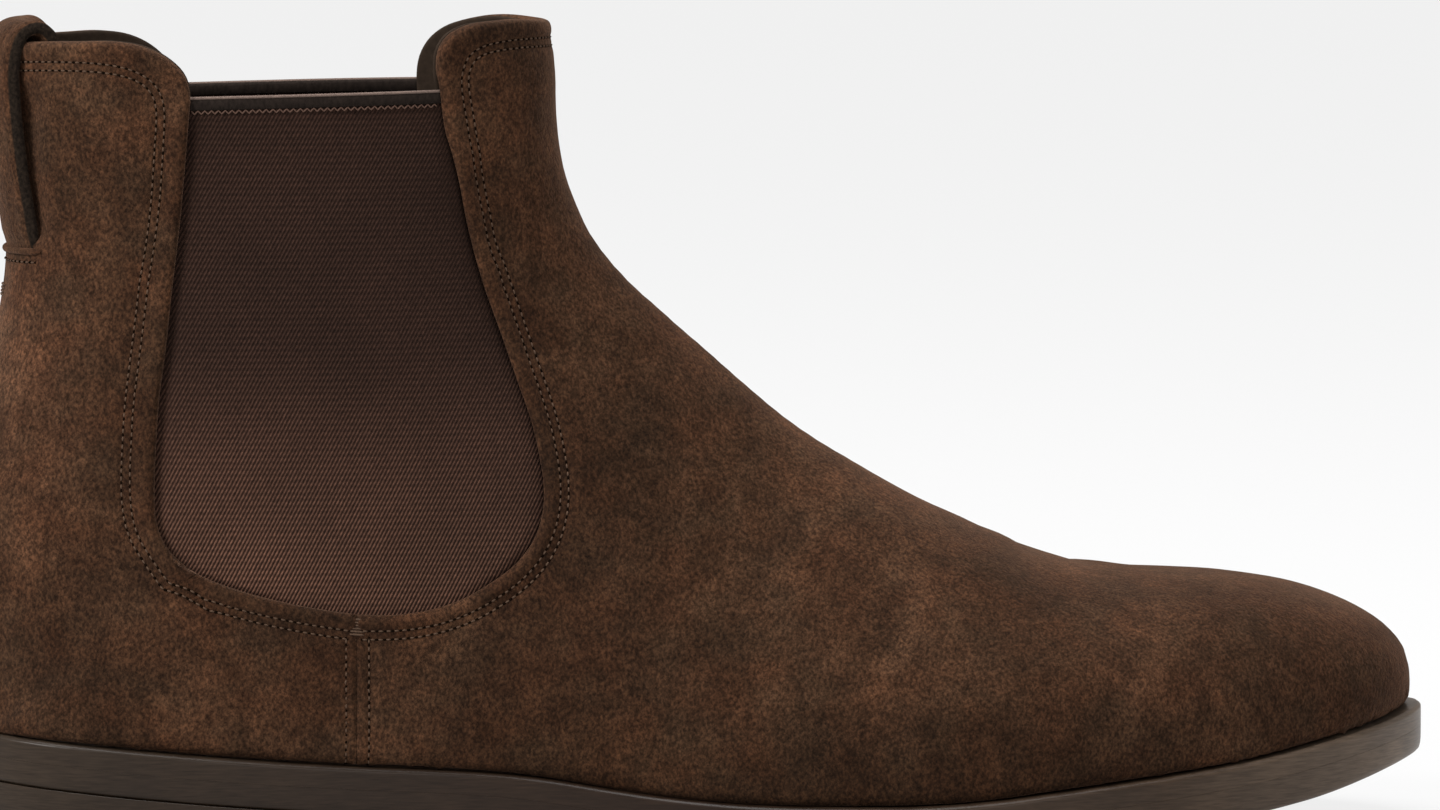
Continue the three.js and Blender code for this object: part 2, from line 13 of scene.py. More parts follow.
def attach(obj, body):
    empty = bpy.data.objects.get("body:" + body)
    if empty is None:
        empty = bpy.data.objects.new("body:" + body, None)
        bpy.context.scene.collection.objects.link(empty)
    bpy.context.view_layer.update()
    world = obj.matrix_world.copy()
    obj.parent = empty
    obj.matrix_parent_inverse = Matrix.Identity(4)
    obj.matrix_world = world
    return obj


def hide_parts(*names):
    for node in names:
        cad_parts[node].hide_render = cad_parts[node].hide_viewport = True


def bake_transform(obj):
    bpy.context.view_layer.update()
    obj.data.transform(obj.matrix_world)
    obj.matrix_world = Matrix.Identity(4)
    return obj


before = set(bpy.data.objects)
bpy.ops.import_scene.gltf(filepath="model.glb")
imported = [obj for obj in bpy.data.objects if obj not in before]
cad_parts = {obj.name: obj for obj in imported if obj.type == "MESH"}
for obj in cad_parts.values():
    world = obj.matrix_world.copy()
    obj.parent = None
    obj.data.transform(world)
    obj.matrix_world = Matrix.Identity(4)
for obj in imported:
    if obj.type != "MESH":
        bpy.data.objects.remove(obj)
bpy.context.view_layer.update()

# ---- the last: the same sections as the CAD model (mm) ----------------------
PLAN_OUTER = [
    (-36.6, 0), (-34.9, -9), (-30.5, -16.8), (-22, -24.6), (-10, -29.4), (4, -31.8),
    (22, -32.2), (45, -31.0), (70, -31.6), (95, -36.2), (120, -43), (145, -48),
    (165, -50), (185, -48.6), (205, -43.3), (225, -35.4), (241, -26.8), (253, -17.2),
    (262, -6.6), (266.6, 1.8), (267.9, 8.6),
]
PLAN_INNER = [
    (-36.6, 0), (-34.9, 9), (-30.5, 16.6), (-22, 24.0), (-10, 28.6), (4, 30.8),
    (22, 30.8), (45, 28.4), (70, 27.2), (95, 29.2), (120, 34.2), (145, 40.6),
    (168, 46), (190, 48), (212, 46), (231, 41.8), (246.5, 36.2), (258, 28),
    (265, 18.8), (267.4, 13.2), (267.9, 8.6),
]
FEATHER_X = [-40.0, 45.0, 61.0, 72.0, 82.0, 92.0, 102.0, 112.0, 122.0, 134.0, 150.0, 162.0, 173.0, 183.0, 194.0, 205.0, 216.0, 228.0, 239.0, 251.0, 262.0, 269.0, 273.0]
FEATHER_Z = [24.9, 17.5, 16.6, 15.8, 14.6, 13.0, 11.6, 10.6, 9.95, 9.7, 9.7, 10.1, 10.9, 12.0, 13.1, 14.1, 15.2, 16.6, 18.3, 20.3, 22.2, 23.5, 24.2]
MID_X = [-40.0, 100.0, 150.0, 190.0, 230.0, 268.0]
MID_Y = [0.0, 0.0, -1.2, 0.0, 3.2, 8.6]
# t, ridge x z, end x z (None: 3 under the feather line), half widths outer/inner
# (None: from the plan), widest point, exponents of the two arcs
STATIONS = [
    (0.0, 268.35, 27.4, 267.9, None, 0, 0, 0.6, 2.0, 2.0),
    (0.03, 268.2, 30.6, 266.7, None, None, None, 0.6, 2.0, 2.0),
    (0.06, 266.9, 35.2, 262.9, None, None, None, 0.62, 2.1, 2.0),
    (0.09, 262.6, 40.4, 256.5, None, None, None, 0.66, 2.2, 2.0),
    (0.12, 254.6, 45.2, 248, None, None, None, 0.7, 2.25, 2.0),
    (0.16, 240, 49.9, 234, None, None, None, 0.74, 2.3, 2.0),
    (0.2, 222.7, 52.6, 216.5, None, None, None, 0.77, 2.3, 2.0),
    (0.24, 205.6, 53.7, 198, None, None, None, 0.79, 2.25, 2.0),
    (0.28, 191.2, 56.2, 179, None, None, None, 0.8, 2.1, 2.0),
    (0.32, 177.5, 62.1, 158, None, None, None, 0.81, 1.95, 2.0),
    (0.36, 163, 68.4, 135, None, None, None, 0.82, 1.85, 2.0),
    (0.4, 149.5, 75.8, 111.5, None, None, None, 0.82, 1.8, 2.0),
    (0.44, 137.8, 83.4, 88, None, None, None, 0.82, 1.8, 2.0),
    (0.48, 127.5, 91.8, 64.5, None, 34.5, 33.0, 0.82, 1.8, 2.0),
    (0.52, 118, 100.0, 42, None, 34.0, 32.6, 0.81, 1.85, 2.0),
    (0.56, 109.5, 107.6, 20, None, 34.0, 32.8, 0.79, 1.9, 2.0),
    (0.6, 102.5, 113.9, -1, None, 34.0, 32.9, 0.76, 1.95, 2.0),
    (0.64, 97, 119.9, -19, None, 33.6, 32.6, 0.72, 2.0, 2.1),
    (0.675, 93.2, 125.4, -30.5, None, 32.7, 31.9, 0.67, 2.05, 2.1),
    (0.7, 91.4, 129.2, -36.6, 21.7, 32.0, 31.3, 0.64, 2.1, 2.15),
    (0.73, 89.8, 133.0, -38.5, 34, 31.2, 30.6, 0.6, 2.1, 2.15),
    (0.76, 88.6, 136.5, -39.4, 46, 30.4, 30.0, 0.58, 2.15, 2.15),
    (0.8, 87.6, 141.5, -38.2, 67, 29.6, 29.3, 0.55, 2.2, 2.2),
    (0.84, 87.0, 146.5, -34.0, 86, 29.0, 28.8, 0.52, 2.2, 2.2),
    (0.88, 86.7, 151.5, -29.5, 104, 28.6, 28.5, 0.5, 2.25, 2.25),
    (0.92, 86.7, 156.5, -27.1, 124, 28.4, 28.4, 0.5, 2.3, 2.3),
    (0.96, 86.2, 162.5, -28.3, 145, 28.6, 28.6, 0.5, 2.3, 2.3),
    (1.0, 84.2, 170.5, -27.6, 167.5, 29.0, 29.0, 0.5, 2.3, 2.3),
]
SEAM_X = 42.1
GORE_FRONT = [(60.5, 155.5), (60.9, 151.8), (61.5, 147.6), (62.8, 143.5), (64.5, 137.3), (66.4, 127.8),
    (69.5, 116.4), (73.2, 105.7), (76.3, 96.3), (79.1, 87.9), (80.4, 81.8), (81.3, 75.6), (81.1, 69.9), (79.1, 63.9),
    (75.1, 58.9), (70.1, 55.3), (63.6, 51.8), (57.4, 49.9), (50.6, 49.0)]
GORE_REAR = [(8.9, 155.3), (8.6, 150.2), (8.3, 146.2), (7.6, 138.0), (6.7, 128.6), (4.9, 114.3), (3.6, 103.1),
    (2.2, 93.2), (1.5, 83.8), (1.1, 75.4), (1.4, 68.3), (3.6, 63.0), (9.4, 58.0), (19.3, 54.0), (31.7, 50.9), (40.6, 49.4)]
FRONT_FLAP = [(84.5, 169.3), (78, 170.0), (73.2, 169.8), (66.7, 169.0), (62.6, 167.0), (60.4, 163.8), (60.0, 159.2)]
BACK_FLAP = [(-27.5, 165.3), (-21, 165.8), (-14, 166.0), (-7.1, 166.1), (-1.1, 165.2), (3.9, 162.9), (7.6, 159.4)]
GORE_TOP = ((9.4, 154.2), (60.0, 155.2))
SUEDE = 1.3
WELT = 4.4
DROP = 9.7
SOLE_OUT = 2.8
HEEL_BREAST = 38.0
TOP_PIECE = 4.6


# ---- curves ----------------------------------------------------------------
def hermite(xs, ys, x):
    xs = np.asarray(xs, float); ys = np.asarray(ys, float); x = np.asarray(x, float)
    h = np.diff(xs); d = np.diff(ys) / h
    m = np.zeros_like(ys); m[0] = d[0]; m[-1] = d[-1]
    for i in range(1, len(ys) - 1):
        if d[i - 1] * d[i] > 0:
            a = 2 * h[i] + h[i - 1]; b = h[i] + 2 * h[i - 1]
            m[i] = (a + b) / (a / d[i - 1] + b / d[i])
    i = np.clip(np.searchsorted(xs, x, side="right") - 1, 0, len(xs) - 2)
    t = np.clip((x - xs[i]) / h[i], 0, 1); u = 1 - t
    return (1 + 2 * t) * u * u * ys[i] + t * u * u * h[i] * m[i] + t * t * (3 - 2 * t) * ys[i + 1] + t * t * (t - 1) * h[i] * m[i + 1]


def catmull(pts, n=16, before=None, after=None):
    P = [np.array(p, float) for p in pts]
    P = [2 * P[0] - P[1] if before is None else np.array(before, float)] + P + [2 * P[-1] - P[-2] if after is None else np.array(after, float)]
    out = []
    for i in range(1, len(P) - 2):
        p0, p1, p2, p3 = P[i - 1:i + 3]
        a = max(np.linalg.norm(p1 - p0), 1e-9) ** .5; b = max(np.linalg.norm(p2 - p1), 1e-9) ** .5; c = max(np.linalg.norm(p3 - p2), 1e-9) ** .5
        m1 = (p2 - p1) + b * ((p1 - p0) / a - (p2 - p0) / (a + b)); m2 = (p2 - p1) + b * ((p3 - p2) / c - (p3 - p1) / (b + c))
        for k in range(n):
            t = k / n
            out.append((2 * t ** 3 - 3 * t * t + 1) * p1 + (t ** 3 - 2 * t * t + t) * m1 + (-2 * t ** 3 + 3 * t * t) * p2 + (t ** 3 - t * t) * m2)
    out.append(P[-2])
    return np.array(out)


OUTER = catmull(PLAN_OUTER, 16, PLAN_INNER[1], PLAN_INNER[-2])
INNER = catmull(PLAN_INNER, 16, PLAN_OUTER[1], PLAN_OUTER[-2])
zf = lambda x: hermite(FEATHER_X, FEATHER_Z, x)
yc = lambda x: hermite(MID_X, MID_Y, x)


def plan_half(x, side):
    line = OUTER if side < 0 else INNER
    return np.abs(np.interp(x, line[:, 0], line[:, 1]) - yc(x))


TS = [s[0] for s in STATIONS]
col = lambda i, fill=None: [fill(s) if s[i] is None else s[i] for s in STATIONS]
RX, RZ, EX = col(1), col(2), col(3)
EZ = col(4, lambda s: float(zf(s[3])) - 3.0)
WO = col(5, lambda s: float(plan_half(s[3], -1)) + min(1.4, 14 * s[0]))
WI = col(6, lambda s: float(plan_half(s[3], 1)) + min(1.4, 14 * s[0]))
WX, EP, EQ = col(7), col(8), col(9)
lo, hi = 0.6, 0.74
for _ in range(50):
    mid = (lo + hi) / 2
    lo, hi = (mid, hi) if hermite(TS, EX, mid) > -36.6 else (lo, mid)
HEEL_T = hi


def skin(t, u):
    """The outer skin: t along the foot, u -1 (outer end) .. 0 (ridge) .. 1 (inner end)."""
    t, u = np.broadcast_arrays(np.asarray(t, float), np.asarray(u, float))
    t = np.clip(t, 0, 1)
    side = np.where(u < 0, -1.0, 1.0); phi = np.clip(np.abs(u), 0, 1)
    rx, rz, ex, ez = (hermite(TS, v, t) for v in (RX, RZ, EX, EZ))
    W = np.where(side < 0, hermite(TS, WO, t), hermite(TS, WI, t))
    wm, p, q = (hermite(TS, v, t) for v in (WX, EP, EQ))
    hend = np.where(side < 0, plan_half(ex, -1), plan_half(ex, 1)) * np.clip(1 - (ez - zf(ex)) / 3.5, 0, 1)
    hend = np.where(t >= HEEL_T, 0, hend)
    W = np.maximum(W, hend)
    a = np.clip(phi * 2, 0, 1) * math.pi / 2; b = np.clip(phi * 2 - 1, 0, 1) * math.pi / 2
    front = phi < 0.5
    w = np.where(front, wm * (1 - np.maximum(np.cos(a), 0) ** (2 / p)), wm + (1 - wm) * np.sin(b) ** (2 / q))
    h = np.where(front, W * np.sin(a) ** (2 / p), hend + (W - hend) * np.maximum(np.cos(b), 0) ** (2 / q))
    h = np.where(t <= 0, 0, h)
    x = rx + (ex - rx) * w
    return np.stack([x, yc(x) + side * h, rz + (ez - rz) * w], -1)


def frame_at(t, u):
    """Unit normal and the two derivatives."""
    t = np.asarray(t, float); u = np.asarray(u, float)
    tc = np.clip(t, 0.012, 1.0)
    def at(tt, uu):
        over = (np.abs(uu) > 1) & (tt >= HEEL_T)
        uu = np.where(over, uu - 2 * np.sign(uu), np.clip(uu, -1, 1))
        return skin(tt, uu)
    ua, ub = u - 0.02, u + 0.02
    ua = np.where((tc < HEEL_T), np.maximum(ua, -1), ua); ub = np.where(tc < HEEL_T, np.minimum(ub, 1), ub)
    du = (at(tc, ub) - at(tc, ua)) / (ub - ua)[..., None]
    t0, t1 = np.clip(t - 0.006, 0.0, 1), np.clip(t + 0.006, 0, 1)
    dt = (skin(t1, u) - skin(t0, u)) / (t1 - t0)[..., None]
    n = np.cross(du, dt)
    n /= np.maximum(np.linalg.norm(n, axis=-1, keepdims=True), 1e-9)
    rx, rz, ex, ez = (hermite(TS, v, np.maximum(t, .2)) for v in (RX, RZ, EX, EZ))
    c = np.stack([(rx + ex) / 2, yc((rx + ex) / 2), (rz + ez) / 2], -1)
    flip = np.sum(n * (skin(t, u) - c), -1) < 0
    n[flip] *= -1
    return n, dt, du


def inverse(xz):
    """Side view points to (t, phi)."""
    xz = np.asarray(xz, float); x, z = xz[:, 0], xz[:, 1]
    lo = np.zeros(len(x)); hi = np.ones(len(x))
    def g(t):
        rx, rz, ex, ez = (hermite(TS, v, t) for v in (RX, RZ, EX, EZ))
        return (ex - rx) * (z - rz) - (ez - rz) * (x - rx)
    s0 = g(lo) > 0
    for _ in range(44):
        m = (lo + hi) / 2; same = (g(m) > 0) == s0
        lo = np.where(same, m, lo); hi = np.where(same, hi, m)
    t = (lo + hi) / 2
    rx, rz, ex, ez = (hermite(TS, v, t) for v in (RX, RZ, EX, EZ))
    w = ((x - rx) * (ex - rx) + (z - rz) * (ez - rz)) / ((ex - rx) ** 2 + (ez - rz) ** 2)
    wm, p, q = (hermite(TS, v, t) for v in (WX, EP, EQ))
    f = np.arccos(np.clip(1 - w / wm, 0, 1) ** (p / 2)) / math.pi
    r = .5 + np.arcsin(np.clip((w - wm) / (1 - wm), 0, 1) ** (q / 2)) / math.pi
    return t, np.where(w < wm, f, r)


def resample(t, u, step):
    p = skin(t, u)
    s = np.concatenate([[0], np.cumsum(np.linalg.norm(np.diff(p, axis=0), axis=1))])
    n = max(2, int(round(s[-1] / step)) + 1)
    q = np.linspace(0, s[-1], n)
    return np.interp(q, s, t), np.interp(q, s, u)


def side_curve(pts, side, step, ridge=False):
    """A smooth curve on the skin through side view points."""
    c = catmull(pts, 10)
    t, phi = inverse(c)
    if ridge:
        phi[0] = 0
    return resample(t, side * phi, step)


# ---- arc length charts for triangulating ------------------------------------
GT = np.linspace(0, 1, 500)
GP = np.linspace(0, 1, 200)
_T, _P = np.meshgrid(GT, GP, indexing="ij")
LEN = {}
for _s in (-1, 1):
    _q = skin(_T, _s * np.maximum(_P, 1e-9))
    LEN[_s] = np.concatenate([np.zeros((500, 1)), np.cumsum(np.linalg.norm(np.diff(_q, axis=1), axis=2), axis=1)], axis=1)
RIDGE = np.concatenate([[0], np.cumsum(np.linalg.norm(np.diff(skin(GT, GT * 0), axis=0), axis=1))])
BACKS = {s: np.concatenate([[0], np.cumsum(np.linalg.norm(np.diff(skin(GT, GT * 0 + s), axis=0), axis=1))]) for s in (-1, 1)}


def row_len(side, t, phi):
    i = np.clip(t * 499, 0, 498.999); a = i.astype(int); f = i - a
    j = np.clip(phi * 199, 0, 198.999); b = j.astype(int); g = j - b
    L = LEN[side]
    return (L[a, b] * (1 - f) + L[a + 1, b] * f) * (1 - g) + (L[a, b + 1] * (1 - f) + L[a + 1, b + 1] * f) * g


def to_chart(kind, t, u):
    t = np.asarray(t, float); u = np.asarray(u, float)
    lo_, hi_ = row_len(-1, t, np.abs(u)), row_len(1, t, np.abs(u))
    if kind == "ridge":
        return np.stack([np.where(u < 0, -lo_, hi_), np.interp(t, GT, RIDGE)], -1)
    s = kind
    full = row_len(s, t, np.ones_like(t))
    return np.stack([full - row_len(s, t, np.abs(u)), np.interp(t, GT, BACKS[s])], -1)


def from_chart(kind, uv):
    if kind == "ridge":
        t = np.interp(uv[:, 1], RIDGE, GT)
        side = np.where(uv[:, 0] < 0, -1, 1); want = np.abs(uv[:, 0])
    else:
        t = np.interp(uv[:, 1], BACKS[kind], GT)
        side = np.full(len(uv), kind); want = row_len(kind, t, np.ones_like(t)) - uv[:, 0]
    lo = np.zeros(len(uv)); hi = np.ones(len(uv))
    for _ in range(30):
        m = (lo + hi) / 2
        val = np.where(side < 0, row_len(-1, t, m), row_len(1, t, m))
        lo = np.where(val < want, m, lo); hi = np.where(val < want, hi, m)
    return t, side * (lo + hi) / 2


def inside_polygon(poly, pts):
    x, y = pts[:, 0], pts[:, 1]; inside = np.zeros(len(pts), bool)
    a = poly; b = np.roll(poly, -1, axis=0)
    for (x0, y0), (x1, y1) in zip(a, b):
        if y0 == y1:
            continue
        hit = ((y0 > y) != (y1 > y)) & (x < (x1 - x0) * (y - y0) / (y1 - y0) + x0)
        inside ^= hit
    return inside


def tree_of(points):
    k = KDTree(len(points))
    for i, p in enumerate(points):
        k.insert(Vector(p), i)
    k.balance()
    return k


def dist(tree, pts):
    return np.array([tree.find(Vector(p))[2] for p in pts])


def march(t, u, d, inward, steps=None):
    """Moves a curve on the skin sideways by d (mm), along the surface."""
    t, u = t.copy(), u.copy()
    n_ = steps or max(1, int(math.ceil(d / 0.8)))
    d = np.reshape(np.broadcast_to(d, t.shape), (-1, 1))
    for _ in range(n_):
        p = skin(t, u)
        tan = np.gradient(p, axis=0); tan /= np.maximum(np.linalg.norm(tan, axis=1, keepdims=True), 1e-9)
        n, dt, du = frame_at(t, u)
        v = np.cross(n, tan) * inward
        v *= d / n_ / np.maximum(np.linalg.norm(v, axis=1, keepdims=True), 1e-9)
        a = np.sum(dt * dt, 1); b = np.sum(dt * du, 1); c = np.sum(du * du, 1)
        e = np.sum(v * dt, 1); f = np.sum(v * du, 1)
        det = np.maximum(a * c - b * b, 1e-9)
        t = np.clip(t + (e * c - f * b) / det, 0, 1); u = np.clip(u + (a * f - b * e) / det, -1, 1)
    return t, u


def gauss(x, c, w):
    return np.exp(-((x - c) / w) ** 2)


def wrinkle(P):
    """Soft unevenness of worn-in leather (mm)."""
    out = np.array([noise.noise(Vector(p) * 0.035) * 0.35 + noise.noise(Vector(p) * 0.09 + Vector((7, 1, 3))) * 0.14 for p in P])
    x, y, z = P[:, 0], P[:, 1], P[:, 2]
    # flex creases over the ball of the foot
    for c, a, w, k in ((186, .35, 3.2, .30), (197, .42, 3.6, .22), (176, .25, 3.4, .34)):
        line = c - k * np.abs(y) + 2.0 * np.sin(y * .11 + c)
        out -= a * gauss(x, line, w) * np.clip((z - 26) / 14, 0, 1) * (z < 90)
        out += a * .6 * gauss(x, line + 6, 4.5) * np.clip((z - 26) / 14, 0, 1) * (z < 90)
    return out


DIST = {"edge": (0.12, 0.34, 0.62, 0.95, 1.35, 1.85, 2.4, 3.0), "seam": (0.18, 0.42, 0.8, 1.3), "foot": (0.45, 1.1, 2.0)}


def relax(values, faces, mask, n):
    """Evens out values over the mesh where mask is true."""
    F = np.array(faces); E = np.concatenate([F[:, [0, 1]], F[:, [1, 2]], F[:, [2, 0]]]); E = np.concatenate([E, E[:, ::-1]])
    cnt = np.bincount(E[:, 0], minlength=len(values))[:, None]
    for _ in range(n):
        acc = np.stack([np.bincount(E[:, 0], weights=values[E[:, 1], k], minlength=len(values)) for k in range(3)], -1) / np.maximum(cnt, 1)
        values = np.where(mask[:, None], .4 * values + .6 * acc, values)
    return values


class Sheet:
    """A piece of the upper: its outline in (t, u), triangulated.

    parts: list of (t, u, kind); rows: stitch lines (t, u) that the mesh follows."""

    def __init__(self, kind, parts, rows=(), fine=1.35, coarse=2.5):
        T = np.concatenate([p[0][:-1] for p in parts]); U = np.concatenate([p[1][:-1] for p in parts])
        poly = to_chart(kind, T, U)
        self.trees = {}
        for k in ("edge", "seam", "foot"):
            pts = [skin(p[0], p[1]) for p in parts if p[2] == k]
            if pts:
                self.trees[k] = tree_of(np.concatenate(pts))
        everything = tree_of(np.concatenate([skin(p[0], p[1]) for p in parts if p[2]]))
        ts, us = [], []
        for p in parts:
            if not p[2]:
                continue
            for d in DIST[p[2]]:
                best = None
                for inward in (1, -1):
                    a, b = march(p[0], p[1], d, inward)
                    ok = inside_polygon(poly, to_chart(kind, a, b))
                    if best is None or ok.mean() > best[0]:
                        best = (ok.mean(), a[ok], b[ok])
                keep = dist(everything, skin(best[1], best[2])) > 0.9 * d
                ts.append(best[1][keep]); us.append(best[2][keep])
        band = np.stack([np.concatenate(ts), np.concatenate(us)], -1)
        self.row_tree = None
        if rows:
            self.row_tree = tree_of(np.concatenate([skin(*resample(r[0], r[1], .35)) for r in rows]))
            extra = []
            for r in rows:
                for off in (0, .42, -.42):
                    a, b = (r[0], r[1]) if off == 0 else march(r[0], r[1], abs(off), math.copysign(1, off))
                    ok = inside_polygon(poly, to_chart(kind, a, b))
                    a, b = a[ok], b[ok]
                    ok = dist(everything, skin(a, b)) > .35
                    extra.append(np.stack([a[ok], b[ok]], -1))
            extra = np.concatenate(extra)
            et = tree_of(skin(extra[:, 0], extra[:, 1]))
            band = band[dist(et, skin(band[:, 0], band[:, 1])) > .3]
            band = np.concatenate([band, extra])
        bt = tree_of(np.concatenate([skin(band[:, 0], band[:, 1]), skin(T, U)]))
        lo_, hi_ = poly.min(0), poly.max(0)
        grid = []
        for h, near in ((coarse, False), (fine, True)):
            gx = np.arange(lo_[0], hi_[0], h); gy = np.arange(lo_[1], hi_[1], h * .866)
            X, Y = np.meshgrid(gx, gy, indexing="ij"); X = X + (np.arange(len(gy)) % 2) * h / 2
            pts = np.stack([X.ravel(), Y.ravel()], -1)
            pts = pts[inside_polygon(poly, pts)]
            t, u = from_chart(kind, pts)
            d = dist(everything, skin(t, u))
            keep = (d <= 9) if near else d > 9 + coarse * .4
            t, u = t[keep], u[keep]
            keep = dist(bt, skin(t, u)) > h * .55
            grid.append(np.stack([t[keep], u[keep]], -1))
        allp = np.concatenate([np.stack([T, U], -1), band] + grid)
        nb = len(T)
        ch = to_chart(kind, allp[:, 0], allp[:, 1])
        edges = [(i, (i + 1) % nb) for i in range(nb)]
        v, e, f, ov, oe, of = delaunay_2d_cdt([Vector(p) for p in ch], edges, [], 1, 1e-5, True)
        tu = np.zeros((len(v), 2)); new = []
        for i, o in enumerate(ov):
            if o:
                tu[i] = allp[o[0]]
            else:
                new.append(i)
        if new:
            a, b = from_chart(kind, np.array([v[i][:] for i in new])); tu[new, 0] = a; tu[new, 1] = b
        self.tu = tu
        vv = np.array([q[:] for q in v]); ff = np.array([x[:3] for x in f if len(x) >= 3])
        ff = ff[inside_polygon(poly, vv[ff].mean(1))]
        self.faces = [tuple(int(i) for i in x) for x in ff]
        self.boundary = np.array([bool(o) and min(o) < nb for o in ov])
        self.pos = skin(tu[:, 0], tu[:, 1])
        self.nor = frame_at(tu[:, 0], tu[:, 1])[0]
        heel = (self.pos[:, 0] < 16) & (self.pos[:, 2] < 66) & ~self.boundary
        self.pos = relax(self.pos, self.faces, heel & (dist(everything, self.pos) > 1.2), 26)
        self.nor = relax(self.nor, self.faces, heel, 26)
        self.nor /= np.linalg.norm(self.nor, axis=1, keepdims=True)
        self.dist = {k: dist(self.trees[k], self.pos) if k in self.trees else np.full(len(self.pos), 99.0) for k in ("edge", "seam", "foot")}
        self.rows = dist(self.row_tree, self.pos) if self.row_tree else np.full(len(self.pos), 99.0)
        self.d = self.dist["edge"]
        self.wr = wrinkle(self.pos)

    def solid(self, outer, inner):
        """A closed skin: outer and inner offsets at each point, welded on the outline."""
        n = len(self.pos)
        mid = (outer + inner) / 2
        seam = self.boundary & (self.dist["seam"] < 1e-3) & (self.d > .3)
        po = self.pos + self.nor * np.where(self.boundary, np.where(seam, outer, mid), outer)[:, None]
        inn = np.full(n, -1); k = 0
        verts = [po]
        idx = np.where(~self.boundary)[0]
        inn[idx] = n + np.arange(len(idx)); inn[self.boundary] = np.where(self.boundary)[0]
        verts.append(self.pos[idx] + self.nor[idx] * inner[idx][:, None])
        faces = []
        for f in self.faces:
            a, b, c = f[:3]
            pa, pb, pc = po[a], po[b], po[c]
            nn = np.cross(pb - pa, pc - pa)
            if np.dot(nn, self.nor[a] + self.nor[b] + self.nor[c]) < 0:
                f = f[::-1]
            faces.append(tuple(f)); faces.append(tuple(int(inn[i]) for i in f[::-1]))
        return np.concatenate(verts), faces


# ---- objects -----------------------------------------------------------------
def make(name, verts, faces, mat, body="root", slot=None, stands_for=(), weld=0.0, smooth=True, sharp=0):
    me = bpy.data.meshes.new(name)
    me.from_pydata([tuple(v) for v in np.asarray(verts) * 0.001], [], [tuple(int(i) for i in f) for f in faces])
    if weld:
        import bmesh
        bm = bmesh.new(); bm.from_mesh(me)
        bmesh.ops.remove_doubles(bm, verts=bm.verts, dist=weld * 0.001)
        rim = [e for e in bm.edges if e.is_boundary]
        if rim:
            got = bmesh.ops.holes_fill(bm, edges=rim, sides=0)["faces"]
            bmesh.ops.triangulate(bm, faces=got)
        bmesh.ops.recalc_face_normals(bm, faces=bm.faces)
        bm.to_mesh(me); bm.free()
    me.update()
    if smooth:
        me.polygons.foreach_set("use_smooth", [True] * len(me.polygons))
    if sharp:
        me.set_sharp_from_angle(angle=math.radians(sharp))
    ob = bpy.data.objects.new(name, me)
    bpy.context.scene.collection.objects.link(ob)
    me.materials.append(mat)
    if body:
        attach(ob, body)
    if stands_for:
        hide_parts(*stands_for)
    return ob


def nodes_of(mat):
    nt = mat.node_tree
    return nt, nt.nodes, nt.links


def principled(name, color, rough, **extra):
    m = bpy.data.materials.new(name); m.use_nodes = True
    b = m.node_tree.nodes["Principled BSDF"]
    b.inputs["Base Color"].default_value = (*color, 1)
    b.inputs["Roughness"].default_value = rough
    for k, v in extra.items():
        b.inputs[k.replace("_", " ")].default_value = v
    return m, b


def coords(nt, scale=(1, 1, 1), rot=(0, 0, 0)):
    tc = nt.nodes.new("ShaderNodeTexCoord"); mp = nt.nodes.new("ShaderNodeMapping")
    mp.inputs["Scale"].default_value = scale; mp.inputs["Rotation"].default_value = rot
    nt.links.new(tc.outputs["Object"], mp.inputs["Vector"])
    return mp.outputs["Vector"]


def noise_tex(nt, vec, scale, detail=3, rough=.55, dist_=0.0):
    n = nt.nodes.new("ShaderNodeTexNoise"); n.inputs["Scale"].default_value = scale
    n.inputs["Detail"].default_value = detail; n.inputs["Roughness"].default_value = rough
    n.inputs["Distortion"].default_value = dist_
    nt.links.new(vec, n.inputs["Vector"])
    return n.outputs["Fac"]


def ramp(nt, fac, stops):
    r = nt.nodes.new("ShaderNodeValToRGB"); e = r.color_ramp.elements
    while len(e) < len(stops):
        e.new(0.5)
    for el, (p, c) in zip(e, stops):
        el.position = p; el.color = (*c, 1) if len(c) == 3 else c
    nt.links.new(fac, r.inputs["Fac"])
    return r.outputs["Color"]


def mix(nt, a, b, fac, mode="MIX"):
    m = nt.nodes.new("ShaderNodeMix"); m.data_type = "RGBA"; m.blend_type = mode
    for sock, v in ((m.inputs[0], fac), (m.inputs[6], a), (m.inputs[7], b)):
        if isinstance(v, (int, float)):
            sock.default_value = v
        elif isinstance(v, tuple):
            sock.default_value = (*v, 1)
        else:
            nt.links.new(v, sock)
    return m.outputs[2]


def bump(nt, bsdf, height, strength, distance, after=None):
    b = nt.nodes.new("ShaderNodeBump"); b.inputs["Strength"].default_value = strength; b.inputs["Distance"].default_value = distance
    nt.links.new(height, b.inputs["Height"])
    if after is not None:
        nt.links.new(after, b.inputs["Normal"])
    if bsdf is not None:
        nt.links.new(b.outputs["Normal"], bsdf.inputs["Normal"])
    return b.outputs["Normal"]


